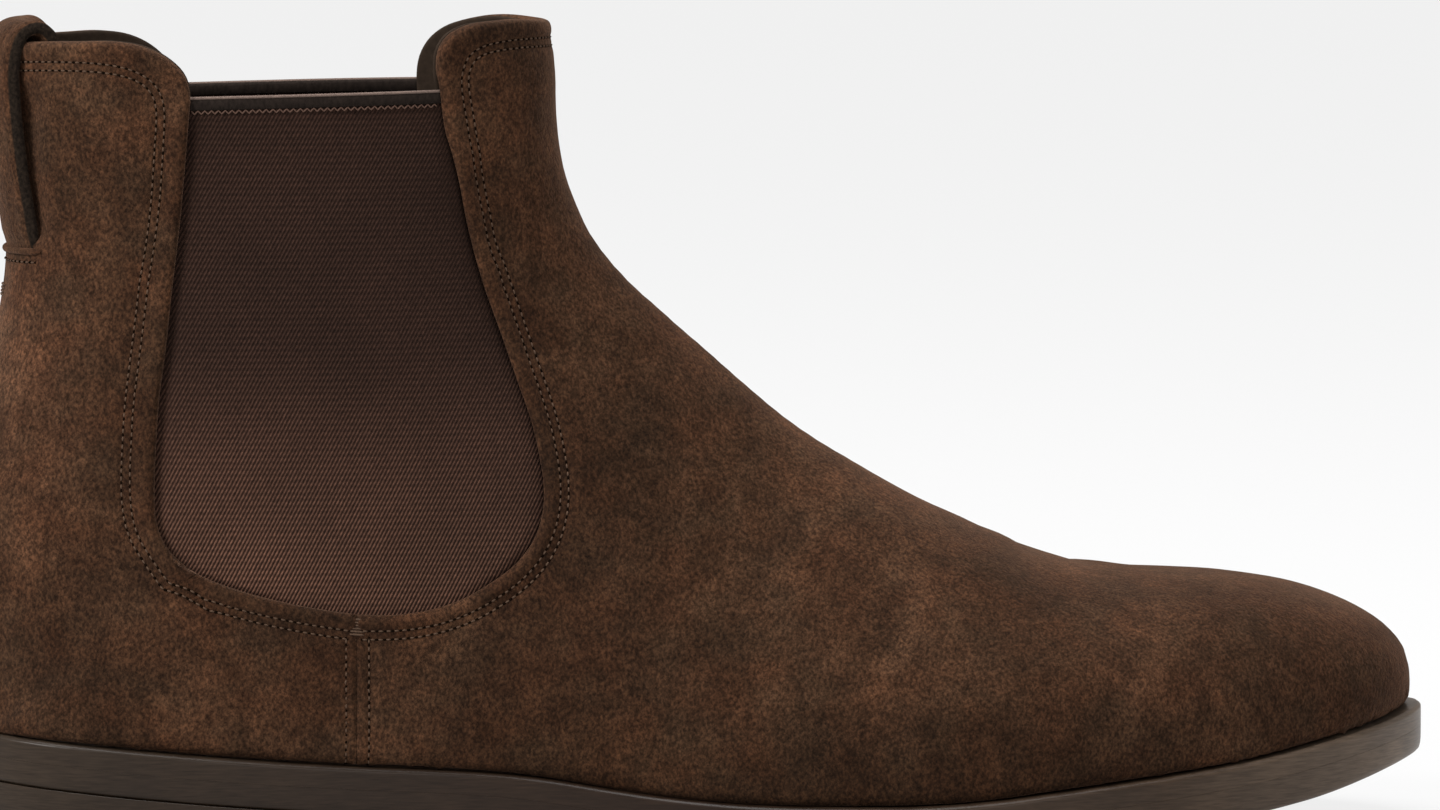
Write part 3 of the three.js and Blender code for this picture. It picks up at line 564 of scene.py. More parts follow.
# suede: brushed nap, with broad patches where it lies the other way
def suede_material(name="suede", lift=1.0, cut=None):
    m, b = principled(name, (.04, .02, .011), .95)
    b.inputs["Specular IOR Level"].default_value = .06
    b.inputs["Sheen Weight"].default_value = .16
    b.inputs["Sheen Roughness"].default_value = .38
    b.inputs["Sheen Tint"].default_value = (.72, .42, .28, 1)
    nt = m.node_tree
    v = coords(nt)
    tone = lambda k: tuple(lift * k * c for c in (.0310, .0149, .0079))
    patch = noise_tex(nt, v, 30, 4, .6, .5)
    base = ramp(nt, patch, [(.30, tone(.64)), (.50, tone(.98)), (.70, tone(1.62))])
    warm = ramp(nt, noise_tex(nt, coords(nt, (1, 1, 1.3), (0, .3, 0)), 75, 3, .55), [(.35, (.92, .97, 1.0)), (.65, (1.12, 1.02, .98))])
    blot = ramp(nt, noise_tex(nt, coords(nt, (1, 1, .7), (0, .4, 0)), 240, 4, .65), [(.34, (.74, .74, .74)), (.66, (1.30, 1.30, 1.27))])
    fib = noise_tex(nt, coords(nt, (1, 1, .75), (0, .5, 0)), 1500, 4, .72)
    fibc = ramp(nt, fib, [(.36, (.40, .40, .40)), (.5, (.95, .95, .95)), (.64, (1.82, 1.77, 1.69))])
    c = mix(nt, mix(nt, base, warm, 1.0, "MULTIPLY"), blot, 1.0, "MULTIPLY")
    c = mix(nt, c, fibc, 1.0, "MULTIPLY")
    sep = nt.nodes.new("ShaderNodeSeparateXYZ"); nt.links.new(v, sep.inputs[0])

    def span(out, a, b_):
        h = nt.nodes.new("ShaderNodeMapRange"); h.interpolation_type = "SMOOTHSTEP"
        h.inputs[1].default_value = a; h.inputs[2].default_value = b_; nt.links.new(out, h.inputs[0])
        return h.outputs[0]

    def times(a, b_):
        k = nt.nodes.new("ShaderNodeMath"); k.operation = "MULTIPLY"; nt.links.new(a, k.inputs[0]); nt.links.new(b_, k.inputs[1])
        return k.outputs[0]
    # painted shade: the suede is darkened low on the waist and forepart, towards the welt
    c = mix(nt, c, mix(nt, c, (.64, .64, .62), 1.0, "MULTIPLY"), times(span(sep.outputs[2], .042, .014), times(span(sep.outputs[0], .045, .095), span(sep.outputs[0], .215, .165))))
    # painted highlight: the suede is paler round the heel, where the light falls from behind
    c = mix(nt, c, mix(nt, c, (1.42, 1.42, 1.46), 1.0, "MULTIPLY"), times(span(sep.outputs[0], -.004, -.026), times(span(sep.outputs[2], .050, .085), span(sep.outputs[2], .140, .112))))
    if cut:                                   # painted shade: the strap's cut edges are darkened, as they lie in shadow
        ab = nt.nodes.new("ShaderNodeMath"); ab.operation = "ABSOLUTE"; nt.links.new(sep.outputs[1], ab.inputs[0])
        gt = nt.nodes.new("ShaderNodeMapRange"); gt.inputs[1].default_value = cut; gt.inputs[2].default_value = cut + .00025
        nt.links.new(ab.outputs[0], gt.inputs[0])
        c = mix(nt, c, mix(nt, fibc, (.0105, .0072, .0050), 1.0, "MULTIPLY"), gt.outputs[0])
    nt.links.new(c, b.inputs["Base Color"])
    n1 = bump(nt, None, fib, .75, .0003)
    bump(nt, b, noise_tex(nt, v, 420, 3, .6), .35, .0006, n1)
    return m


SUEDE_MAT = suede_material()


def elastic_material():
    m, b = principled("elastic", (.02, .01, .007), .9)
    b.inputs["Specular IOR Level"].default_value = .06
    b.inputs["Sheen Weight"].default_value = .07
    b.inputs["Sheen Tint"].default_value = (.75, .48, .38, 1)
    nt = m.node_tree

    def wave(rot, scale, distort=0.6):
        w = nt.nodes.new("ShaderNodeTexWave"); w.wave_type = "BANDS"; w.bands_direction = "X"; w.wave_profile = "SIN"
        w.inputs["Scale"].default_value = scale; w.inputs["Distortion"].default_value = distort
        w.inputs["Detail"].default_value = 2; w.inputs["Detail Scale"].default_value = 2.0
        nt.links.new(coords(nt, (1, 0.0, 1), (0, rot, 0)), w.inputs["Vector"])
        return w.outputs["Fac"]
    tw = wave(math.radians(-28), 442, .5)         # twill lines, 0.71 mm apart
    weft = wave(math.radians(90), 247, .8)        # rows, 1.27 mm
    v = coords(nt)
    low = noise_tex(nt, v, 40, 3, .5)
    grain = noise_tex(nt, coords(nt, (1, 1, .6)), 2600, 2, .6)
    sep = nt.nodes.new("ShaderNodeSeparateXYZ"); nt.links.new(v, sep.inputs[0])
    h = nt.nodes.new("ShaderNodeMapRange"); h.inputs[1].default_value = .104; h.inputs[2].default_value = .056
    nt.links.new(sep.outputs[2], h.inputs[0])
    # painted highlight: towards the foot the twill is lighter and shows more contrast, where the elastic bulges toward
    # the light
    c = mix(nt, ramp(nt, tw, [(.15, (.0128, .0063, .0045)), (.8, (.0265, .0136, .0095))]), ramp(nt, tw, [(.15, (.0066, .0032, .0022)), (.8, (.0400, .0208, .0142))]), h.outputs[0])
    c = mix(nt, c, ramp(nt, weft, [(.2, (.84, .84, .84)), (.8, (1.16, 1.16, 1.16))]), 1.0, "MULTIPLY")
    c = mix(nt, c, ramp(nt, grain, [(.3, (.66, .66, .66)), (.7, (1.36, 1.33, 1.30))]), 1.0, "MULTIPLY")
    c = mix(nt, c, ramp(nt, low, [(.3, (.88, .88, .88)), (.7, (1.12, 1.1, 1.1))]), 1.0, "MULTIPLY")
    g = nt.nodes.new("ShaderNodeMapRange"); g.inputs[1].default_value = .085; g.inputs[2].default_value = .010
    g.inputs[3].default_value = .45; nt.links.new(sep.outputs[0], g.inputs[0])
    painted_highlight_fac = nt.nodes.new("ShaderNodeMath"); painted_highlight_fac.operation = "MULTIPLY"; nt.links.new(h.outputs[0], painted_highlight_fac.inputs[0]); nt.links.new(g.outputs[0], painted_highlight_fac.inputs[1])
    c = mix(nt, c, mix(nt, c, (2.55, 2.46, 2.36), 1.0, "MULTIPLY"), painted_highlight_fac.outputs[0])   # painted highlight: paler near the foot and towards the rear, where the elastic bulges toward the light
    nt.links.new(c, b.inputs["Base Color"])
    n1 = bump(nt, None, tw, .7, .0003)
    bump(nt, b, grain, .3, .0001, n1)
    return m


ELASTIC_MAT = elastic_material()


def plain(name, color, rough, grain=0.12, scale=900, bumpy=.25, depth=.0001, spec=.4, stretch=(1, 1, 1), **kw):
    m, b = principled(name, color, rough)
    b.inputs["Specular IOR Level"].default_value = spec
    for k, v_ in kw.items():
        b.inputs[k.replace("_", " ")].default_value = v_
    nt = m.node_tree
    f = noise_tex(nt, coords(nt, stretch), scale, 3, .6)
    c = ramp(nt, f, [(.28, tuple(x * (1 - grain) for x in color)), (.72, tuple(x * (1 + grain) for x in color))])
    nt.links.new(c, b.inputs["Base Color"])
    bump(nt, b, f, bumpy, depth)
    return m


def edge_material(name, seed):
    """Burnished sole leather: warm brown at the toe, darker and redder behind, fine streaks along the edge."""
    m, b = principled(name, (.02, .013, .009), .36)
    b.inputs["Specular IOR Level"].default_value = .12
    b.inputs["Coat Weight"].default_value = .05
    b.inputs["Coat Roughness"].default_value = .20
    nt = m.node_tree
    v = coords(nt)
    sep = nt.nodes.new("ShaderNodeSeparateXYZ"); nt.links.new(v, sep.inputs[0])
    h = nt.nodes.new("ShaderNodeMapRange"); h.inputs[1].default_value = -.04; h.inputs[2].default_value = .27
    nt.links.new(sep.outputs[0], h.inputs[0])
    c = ramp(nt, h.outputs[0], [(.0, (.0215, .0152, .0104)), (.25, (.0172, .0112, .0076)), (.50, (.0138, .0078, .0050)), (.80, (.0340, .0225, .0150)), (1.0, (.0960, .0730, .0550))])
    st = noise_tex(nt, coords(nt, (.6, .6, 9), (0, 0, 0)), 300 + 40 * seed, 4, .6)
    c = mix(nt, c, ramp(nt, st, [(.28, (.68, .66, .64)), (.72, (1.36, 1.34, 1.32))]), 1.0, "MULTIPLY")
    bl = noise_tex(nt, v, 38 + 9 * seed, 3, .5)
    c = mix(nt, c, ramp(nt, bl, [(.3, (.82, .82, .84)), (.7, (1.22, 1.18, 1.14))]), 1.0, "MULTIPLY")
    nt.links.new(c, b.inputs["Base Color"])
    bump(nt, b, st, .25, .00008)
    return m


TAPE_MAT = plain("gore_tape", (.0125, .0088, .0070), .9, .4, 1600, .5, .0002, .05, (1, 1, .5))
LIP_MAT = plain("gore_lip", (.105, .072, .058), .8, .25, 1800, .5, .0002, .2)
THREAD_MAT = plain("thread", (.070, .042, .027), .75, .3, 3000, .5, .0001, .08)
# painted shade: dark marks standing for the shade inside the needle holes
HOLE_SHADE_MAT = plain("hole_shade", (.0045, .0028, .0018), .95, .2, 3000, .2, .0001, .0)
ZIG_MAT = plain("zigzag_thread", (.075, .042, .030), .7, .2, 3000, .5, .0001, .1)
LINING_MAT = plain("lining", (.0235, .0155, .0105), .85, .2, 900, .4, .00015, .06)
SOCK_MAT = plain("sock", (.050, .030, .019), .6, .12, 800, .3, .00012, .35)
WELT_MAT = edge_material("welt", 0)
SOLE_MAT = edge_material("sole", 1)
RUBBER_MAT = plain("rubber", (.016, .013, .012), .7, .2, 1500, .5, .0002, .35)
TREAD_MAT = plain("tread", (.055, .034, .022), .65, .25, 500, .4, .0002, .35)

# ---- outlines of the upper's pieces -------------------------------------------
STEP = 1.25


def feather_curve(side, t0, t1, step=2.0):
    """Where the skin meets the welt, between stations t0 and t1."""
    ts = np.linspace(t0, t1, 240)
    above = lambda phi: (lambda p: p[:, 2] > zf(p[:, 0]) + 0.1)(skin(ts, side * phi))
    lo, hi = np.full(240, 0.5), np.ones(240)
    top = above(hi) | (ts <= 0)
    for _ in range(36):
        m = (lo + hi) / 2; up = above(m)
        lo, hi = np.where(up, m, lo), np.where(up, hi, m)
    out = np.where(top, 1.0, hi)
    return resample(ts, side * np.array(out), step)


def join(*curves):
    t = np.concatenate([curves[0][0]] + [c[0][1:] for c in curves[1:]]); u = np.concatenate([curves[0][1]] + [c[1][1:] for c in curves[1:]])
    return t, u


def rev(c):
    return c[0][::-1].copy(), c[1][::-1].copy()


def seam_curve(x, side, top):
    zs = np.linspace(float(zf(x)) + 0.1, top, 30)
    t, phi = inverse(np.stack([np.full(30, x), zs], -1))
    return resample(t, side * phi, STEP)


# back centre: where the skin crosses the welt line
ts_ = np.linspace(HEEL_T, HEEL_T + 0.05, 400); pb = skin(ts_, ts_ * 0 - 1)
T_BACK = float(ts_[np.argmax(pb[:, 2] > zf(pb[:, 0]) + 0.1)])

FLAP_IN = [(84.5, 169.3), (78, 169.5), (73.2, 168.8), (67.2, 166.9), (63.6, 164.2), (61.6, 161.0), (60.8, 157.6)]
edges_vamp, edges_quarter = {}, {}
for s in (-1, 1):
    flap = FRONT_FLAP if s < 0 else FLAP_IN
    top = side_curve(flap + (GORE_FRONT if s < 0 else GORE_FRONT[1:]) + [(SEAM_X + 0.03, 49.15)], s, STEP, ridge=True)   # ridge -> gore bottom
    seam = seam_curve(SEAM_X + 0.03, s, 49.15)
    edges_vamp[s] = (top, seam)
    qtop = side_curve(BACK_FLAP + GORE_REAR + [(SEAM_X - 0.03, 49.2)], s, STEP)
    qtop[1][0] = s * 1.0
    qseam = seam_curve(SEAM_X - 0.03, s, 49.2)
    edges_quarter[s] = (qtop, qseam)


def row_along(curve, dfun, inside, lo=0.0, hi=1.0):
    """A stitch line beside an edge, dfun(fraction of its length) away (mm)."""
    p = skin(curve[0], curve[1])
    f = np.concatenate([[0], np.cumsum(np.linalg.norm(np.diff(p, axis=0), axis=1))]); f /= f[-1]
    k = (f >= lo) & (f <= hi); d = np.interp(f, *dfun)
    best = None
    for sgn in (1, -1):
        a, b = march(curve[0], curve[1], d, sgn, steps=8)
        q = skin(a, b); score = inside(q[k])
        if best is None or score > best[0]:
            best = (score, a, b)
    a, b = best[1][k], best[2][k]
    tr = tree_of(p); keep = dist(tr, skin(a, b)) > .9 * d[k]
    a, b = a[keep], b[keep]
    for _ in range(50):
        a[1:-1] = (a[:-2] + 2 * a[1:-1] + a[2:]) / 4; b[1:-1] = (b[:-2] + 2 * b[1:-1] + b[2:]) / 4
    return resample(a, b, .9)


def side_row(pts, dfun, side):
    """A stitch line beside the lower edge of the gore window, drawn in side view."""
    c = catmull(pts, 40)
    run = np.concatenate([[0], np.cumsum(np.linalg.norm(np.diff(c, axis=0), axis=1))])
    k = np.arange(0, run[-1], .5); c = np.stack([np.interp(k, run, c[:, 0]), np.interp(k, run, c[:, 1])], -1)
    g = c.copy()
    for _ in range(30):
        g[1:-1] = (g[:-2] + 2 * g[1:-1] + g[2:]) / 4
    d = np.gradient(g, axis=0); n = np.stack([d[:, 1], -d[:, 0]], -1); n /= np.linalg.norm(n, axis=1)[:, None]
    n *= np.sign(np.sum(n * (c - np.array([41.0, 100.0])), axis=1))[:, None]
    q = c + n * np.interp(c[:, 1], *dfun)[:, None]
    for _ in range(40):
        q[1:-1] = (q[:-2] + 2 * q[1:-1] + q[2:]) / 4
    return q


def lower_row(row, pts, dfun, side, z=118.0):
    """The row as it is above z, and drawn in side view below it."""
    q = side_row(pts, dfun, side)
    m = q[:, 1] < z
    t, phi = inverse(q[m])
    up = skin(row[0], row[1])[:, 2] > z + 4
    a = np.concatenate([row[0][up], t]); b = np.concatenate([row[1][up], side * phi])
    a, b = resample(a, b, .9)
    for _ in range(10):
        a[1:-1] = (a[:-2] + 2 * a[1:-1] + a[2:]) / 4; b[1:-1] = (b[:-2] + 2 * b[1:-1] + b[2:]) / 4
    return resample(a, b, .9)


ROWS_V, ROWS_Q = [], {-1: [], 1: []}
for s in (-1, 1):
    away = lambda q: -np.mean(np.hypot(q[:, 0] - 120, q[:, 2] - 90))
    for add in (0, 1.75):
        ROWS_V.append(row_along(edges_vamp[s][0], ([0, .12, .2, .5, .8, 1], [4.0 + add, 4.2 + add, 4.4 + add, 3.6 + add, 3.4 + add, 3.3 + add]), away))
        ROWS_V[-1] = lower_row(ROWS_V[-1], GORE_FRONT[4:] + [(SEAM_X + .6, 49.15)], ([40, 60, 85, 110, 150], [3.3 + add, 3.4 + add, 3.6 + add, 3.7 + add, 4.0 + add]), s)
        ROWS_Q[s].append(row_along(edges_quarter[s][0], ([0, .1, .25, .5, .72, .85, 1], [4.2 + add, 4.0 + add, 4.4 + add, 5.0 + add, 5.0 + add, 3.8 + add, 3.3 + add]), lambda q: np.mean(np.hypot(q[:, 0] - 45, q[:, 2] - 100))))
        ROWS_Q[s][-1] = lower_row(ROWS_Q[s][-1], GORE_REAR[2:] + [(SEAM_X - .6, 49.2)], ([40, 52, 62, 75, 100, 150], [3.3 + add, 3.5 + add, 4.3 + add, 5.0 + add, 5.0 + add, 4.8 + add]), s)
    ROWS_V.append(seam_curve(SEAM_X + 2.5, s, 44.6))
    ROWS_Q[s].append(seam_curve(SEAM_X - 2.2, s, 44.6))

t_foot = {s: float(edges_vamp[s][1][0][0]) for s in (-1, 1)}
toe_line = (np.zeros(9), np.linspace(-1, 1, 9))
VAMP = Sheet("ridge", [
    (*rev(feather_curve(-1, 0, t_foot[-1])), "foot"),
    (*toe_line, ""),
    (*feather_curve(1, 0, t_foot[1]), "foot"),
    (*edges_vamp[1][1], "seam"),
    (*rev(edges_vamp[1][0]), "edge"),
    (*edges_vamp[-1][0], "edge"),
    (*rev(edges_vamp[-1][1]), "seam"),
], ROWS_V)
QUARTER = {}
for s in (-1, 1):
    qtop, qseam = edges_quarter[s]
    tb = np.linspace(float(qtop[0][0]), T_BACK, 140)
    back = resample(tb, tb * 0 + s, STEP)
    foot = feather_curve(s, float(qseam[0][0]), T_BACK)
    QUARTER[s] = Sheet(s, [(*qtop[:2], "edge"), (*rev(qseam), "seam"), (*foot, "foot"), (*rev(back), "seam")], ROWS_Q[s])


def hollow(P):
    """The back is drawn in where the pull strap lies (mm)."""
    up = np.clip((P[:, 2] - 123.6) / 3.2, 0, 1) * np.clip((160 - P[:, 2]) / 9, 0, 1)
    across = np.clip((17.4 - np.abs(P[:, 1])) / 3.6, 0, 1)
    f = lambda k: k * k * (3 - 2 * k)
    return np.where(P[:, 0] < -12, 1.9 * f(up) * f(across), 0)


def suede_offsets(sheet):
    d = sheet.d; P = sheet.pos
    r = np.sqrt(np.clip(1 - (1 - np.clip(d / 0.95, 0, 1)) ** 2, 0, 1))
    top = np.clip((P[:, 2] - 157) / 3.5, 0, 1); top = top * top * (3 - 2 * top) * np.clip(1 - (d - 5) / 4, 0, 1)
    c = -(SUEDE / 2 + top * .8)
    thick = SUEDE + top * 1.6
    puff = .62 * gauss(d, 1.8, 1.8) - .34 * gauss(sheet.rows, 0, .42)
    puff -= .24 * gauss(sheet.dist["seam"], 0, .38) - .10 * gauss(sheet.dist["seam"], 1.1, .8)
    wr = sheet.wr * np.clip(d / 6, 0, 1)
    wr = wr - hollow(P) - .95 * gauss(sheet.dist["foot"], 0, 1.5)
    outer = c + (-c + puff) * r + wr
    inner = c - (thick + c) * r + wr
    return outer, inner


def lining_offsets(sheet):
    d = sheet.d
    r = np.sqrt(np.clip(1 - (1 - np.clip(d / 0.6, 0, 1)) ** 2, 0, 1))
    wr = sheet.wr * np.clip(d / 6, 0, 1) - .8 * hollow(sheet.pos)
    return -3.4 + .4 * r + wr, -3.4 - .4 * r + wr


v, f = VAMP.solid(*suede_offsets(VAMP))
vamp = make("suede_vamp", v, f, SUEDE_MAT, slot="suede", stands_for=["vamp"], weld=0.02)
v, f = VAMP.solid(*lining_offsets(VAMP))
make("lining_front", v, f, LINING_MAT, slot="lining", stands_for=["vamp_lining"], weld=0.02)
lin = []
for s, nm in ((-1, "outer"), (1, "inner")):
    q = QUARTER[s]
    v, f = q.solid(*suede_offsets(q))
    make("suede_quarter_" + nm, v, f, SUEDE_MAT, slot="suede", stands_for=["quarter_" + nm], weld=0.02)
    v, f = q.solid(*lining_offsets(q))
    lin.append((v, f))
n0 = len(lin[0][0])
make("lining_back", np.concatenate([lin[0][0], lin[1][0]]), lin[0][1] + [tuple(i + n0 for i in f) for f in lin[1][1]], LINING_MAT, slot="lining", stands_for=["quarter_lining"], weld=0.02)


# ---- elastic gores ----------------------------------------------------------------
def window_span(z, grow):
    fr = catmull(GORE_FRONT + [(SEAM_X, 49.05)], 8); re = catmull(GORE_REAR + [(SEAM_X, 49.2)], 8)
    fr = fr[np.argsort(fr[:, 1])]; re = re[np.argsort(re[:, 1])]
    zz = np.maximum(z, 50.0)
    a, b = np.interp(zz, re[:, 1], re[:, 0]), np.interp(zz, fr[:, 1], fr[:, 0])
    return a - grow, b + grow


def top_z(x):
    return GORE_TOP[0][1] + (GORE_TOP[1][1] - GORE_TOP[0][1]) * (x - GORE_TOP[0][0]) / (GORE_TOP[1][0] - GORE_TOP[0][0])


def side_grid(zrel, nx, grow, side, off):
    """Grid over the gore: zrel rows from 0 (bottom) to 1 (top); off is not used."""
    rows = []
    for r in zrel:
        z0 = 46.0 + (155.0 - 46.0) * r
        a, b = window_span(z0, grow)
        if z0 < 58:
            k = (58 - z0) / 12.0; sh = 10 * k ** 2
            a, b = a + sh * .4, b - sh * .4
        xs = a + (b - a) * np.linspace(0, 1, nx)
        zs = np.full(nx, z0) + (top_z(xs) - 155.0) * r ** 3
        rows.append(np.stack([xs, zs], -1))
    g = np.array(rows); n = g.reshape(-1, 2)
    t, phi = inverse(n)
    u = side * phi
    P = skin(t, u); N = frame_at(t, u)[0]
    return P, N, n, (len(zrel), nx)


def sheet_from_grid(name, P, N, shape, o1, o2, mat, **kw):
    R, C = shape
    A = P + N * o1[:, None]; B = P + N * o2[:, None]
    v = np.concatenate([A, B]); k = R * C; f = []
    idx = lambda r, c: r * C + c
    for r in range(R - 1):
        for c in range(C - 1):
            q = (idx(r, c), idx(r, c + 1), idx(r + 1, c + 1), idx(r + 1, c))
            f.append(q); f.append(tuple(k + i for i in q[::-1]))
    for r in range(R - 1):
        for c in (0, C - 1):
            q = (idx(r, c), idx(r + 1, c), k + idx(r + 1, c), k + idx(r, c)); f.append(q if c == 0 else q[::-1])
    for c in range(C - 1):
        for r in (0, R - 1):
            q = (idx(r, c + 1), idx(r, c), k + idx(r, c), k + idx(r, c + 1)); f.append(q if r == 0 else q[::-1])
    return make(name, v, f, mat, weld=0.001, **kw)


def tube_mesh(path, radius, sides=6, closed=False, flat=1.0, normals=None):
    path = np.asarray(path); n = len(path)
    tan = np.gradient(path, axis=0); tan /= np.maximum(np.linalg.norm(tan, axis=1, keepdims=True), 1e-9)
    if normals is None:
        normals = np.tile([0, 0, 1.0], (n, 1))
    b = np.cross(tan, normals); b /= np.maximum(np.linalg.norm(b, axis=1, keepdims=True), 1e-9)
    nn = np.cross(b, tan)
    a = np.linspace(0, 2 * math.pi, sides, endpoint=False)
    rad = np.broadcast_to(radius, (n,))
    v = path[:, None, :] + rad[:, None, None] * (np.cos(a)[None, :, None] * b[:, None, :] + flat * np.sin(a)[None, :, None] * nn[:, None, :])
    v = v.reshape(-1, 3); f = []
    for i in range(n - 1):
        for k in range(sides):
            f.append((i * sides + k, i * sides + (k + 1) % sides, (i + 1) * sides + (k + 1) % sides, (i + 1) * sides + k))
    f.append(tuple(range(sides))[::-1]); f.append(tuple((n - 1) * sides + k for k in range(sides)))
    return v, f


class Bag:
    """Collects many small closed meshes into one object."""

    def __init__(self):
        self.v, self.f, self.n = [], [], 0

    def add(self, v, f):
        self.v.append(v); self.f += [tuple(i + self.n for i in q) for q in f]; self.n += len(v)

    def make(self, name, mat, **kw):
        return make(name, np.concatenate(self.v), self.f, mat, **kw)


for s, nm in ((-1, "outer"), (1, "inner")):
    P, N, xz, shape = side_grid(np.linspace(0, 1, 120), 84, 3.2, s, None)
    wa, wb = window_span(np.clip(xz[:, 1], 52, 155), 0)
    sink = 1.0 * gauss(np.minimum(xz[:, 0] - wa + .6, 99), 0, 2.0) + .55 * gauss(wb - xz[:, 0] + .4, 0, 1.8)
    sink = np.where((xz[:, 0] < wa - .6) | (xz[:, 0] > wb + .4), 1.0, sink) * .95
    sink *= np.clip((152 - xz[:, 1]) / 6, 0, 1)
    sink *= np.clip((xz[:, 1] - 50) / 6, 0, 1)
    ripple = np.array([noise.noise(Vector((p[0] * .05, p[2] * .022, 3 * s))) * .35 for p in P])
    sheet_from_grid("elastic_gore_" + nm, P, N, shape, -1.5 - sink + ripple, -2.6 - sink + ripple, ELASTIC_MAT, slot="elastic", stands_for=["gore_" + nm])
    # woven edge tape over the top of the elastic
    xs = np.linspace(window_span(154.5, 0.6)[0], window_span(154.5, 0.6)[1], 70)
    prof = [(-2.2, -1.25), (-2.05, -.98), (-1.2, -.92), (-.35, -.98), (.1, -1.25), (.25, -2.1), (.1, -2.95), (-.35, -3.15), (-2.05, -3.15), (-2.2, -2.9)]
    rings = []
    for dz, off in prof:
        zz = top_z(xs) + dz
        t, phi = inverse(np.stack([xs, zz], -1)); u = s * phi
        rings.append(skin(t, u) + frame_at(t, u)[0] * off)
    rings = np.array(rings); m, k = rings.shape[:2]
    f = []
    for i in range(m):
        for j in range(k - 1):
            f.append((i * k + j, i * k + j + 1, ((i + 1) % m) * k + j + 1, ((i + 1) % m) * k + j))
    f.append(tuple(i * k for i in range(m))); f.append(tuple(i * k + k - 1 for i in range(m))[::-1])
    make("gore_edge_tape_" + nm, rings.reshape(-1, 3), f, TAPE_MAT, slot="tape", stands_for=["gore_tape_" + nm], weld=0.001)
    # raised light thread along the very top
    zz = top_z(xs) + .28
    t, phi = inverse(np.stack([xs, zz], -1)); u = s * phi; nn = frame_at(t, u)[0]
    v, f = tube_mesh(skin(t, u) + nn * -1.6, .34, 8, normals=nn, flat=1.8)
    make("gore_top_thread_" + nm, v, f, LIP_MAT, slot="elastic", weld=0.001)
    # zigzag stitch under the tape
    a, b = window_span(151, -.4)
    zx = np.arange(a, b, .7); zg = top_z(zx) - 2.6 + np.where(np.arange(len(zx)) % 2 == 0, .34, -.34)
    path = np.repeat(np.stack([zx, zg], -1), 1, axis=0)
    dense = []
    for p0, p1 in zip(path[:-1], path[1:]):
        for q in (0, .25, .5, .75):
            dense.append(p0 + (p1 - p0) * q)
    dense = np.array(dense)
    t, phi = inverse(dense); u = s * phi; nn = frame_at(t, u)[0]
    v, f = tube_mesh(skin(t, u) - nn * 1.18, .17, 6, normals=nn)
    make("gore_zigzag_" + nm, v, f, ZIG_MAT, slot="elastic", weld=0.0)


# ---- stitching -----------------------------------------------------------------------
def bead(path, N, rad, sides=6):
    return tube_mesh(path, rad, sides, normals=N)


def stitch_row(sheet, t, u, pitch=1.62, length=.95, r=.21):
    """Beads of thread with a dark mark at each end, painted shade for the needle hole."""
    p = skin(t, u)
    s = np.concatenate([[0], np.cumsum(np.linalg.norm(np.diff(p, axis=0), axis=1))])
    n = int(s[-1] / pitch)
    if n < 2:
        return
    k = 5
    for part in ("bead", "hole"):
        a = (np.arange(n if part == "bead" else n + 1) + (.5 if part == "bead" else 0)) * s[-1] / n
        ln = length if part == "bead" else .74
        q = a[:, None] + np.linspace(-ln / 2, ln / 2, k)[None]
        q = np.clip(q, 0, s[-1])
        tt, uu = np.interp(q.ravel(), s, t), np.interp(q.ravel(), s, u)
        P = skin(tt, uu); N = frame_at(tt, uu)[0]
        off = np.array([sheet.outer_tree[1][sheet.outer_tree[0].find(Vector(x))[1]] for x in P]).reshape(-1, k)
        P = P.reshape(-1, k, 3); N = N.reshape(-1, k, 3)
        for i in range(len(P)):
            if part == "bead":
                lift = off[i].mean() + .04 + .10 * np.sin(np.linspace(0, math.pi, k))
                v, f = bead(P[i] + N[i] * lift[:, None], N[i], r * np.array([.5, .9, 1, .9, .5]))
                THREADS.add(v, f)
            else:
                # painted shade: a dark bead in place of the shadow in the needle hole
                v, f = bead(P[i] + N[i] * (off[i].mean() + .01), N[i], .30 * np.array([.45, .9, 1, .9, .45]))
                HOLE_SHADES.add(v, f)


THREADS, HOLE_SHADES = Bag(), Bag()
for sheet in (VAMP, QUARTER[-1], QUARTER[1]):
    sheet.outer_tree = (tree_of(sheet.pos), suede_offsets(sheet)[0])
for r_ in ROWS_V:
    stitch_row(VAMP, *r_)
for s in (-1, 1):
    for r_ in ROWS_Q[s]:
        stitch_row(QUARTER[s], *r_)


def thread_bar(sheet, xz0, xz1, side, r=.3, lift=.28):
    """One raised stitch between two side view points."""
    q = np.linspace(np.array(xz0), np.array(xz1), 7)
    t, phi = inverse(q); u = side * phi
    P = skin(t, u); N = frame_at(t, u)[0]
    v, f = bead(P + N * (lift + .12 * np.sin(np.linspace(0, math.pi, 7)))[:, None], N, r * np.array([.5, .85, 1, 1, 1, .85, .5]))
    THREADS.add(v, f)


for s in (-1, 1):
    for i in range(6):                      # bar tack under the gore
        z = 48.2 - i * .62
        thread_bar(QUARTER[s], (SEAM_X - 1.5, z + .12), (SEAM_X + 1.5, z - .12), s, .24, .12)

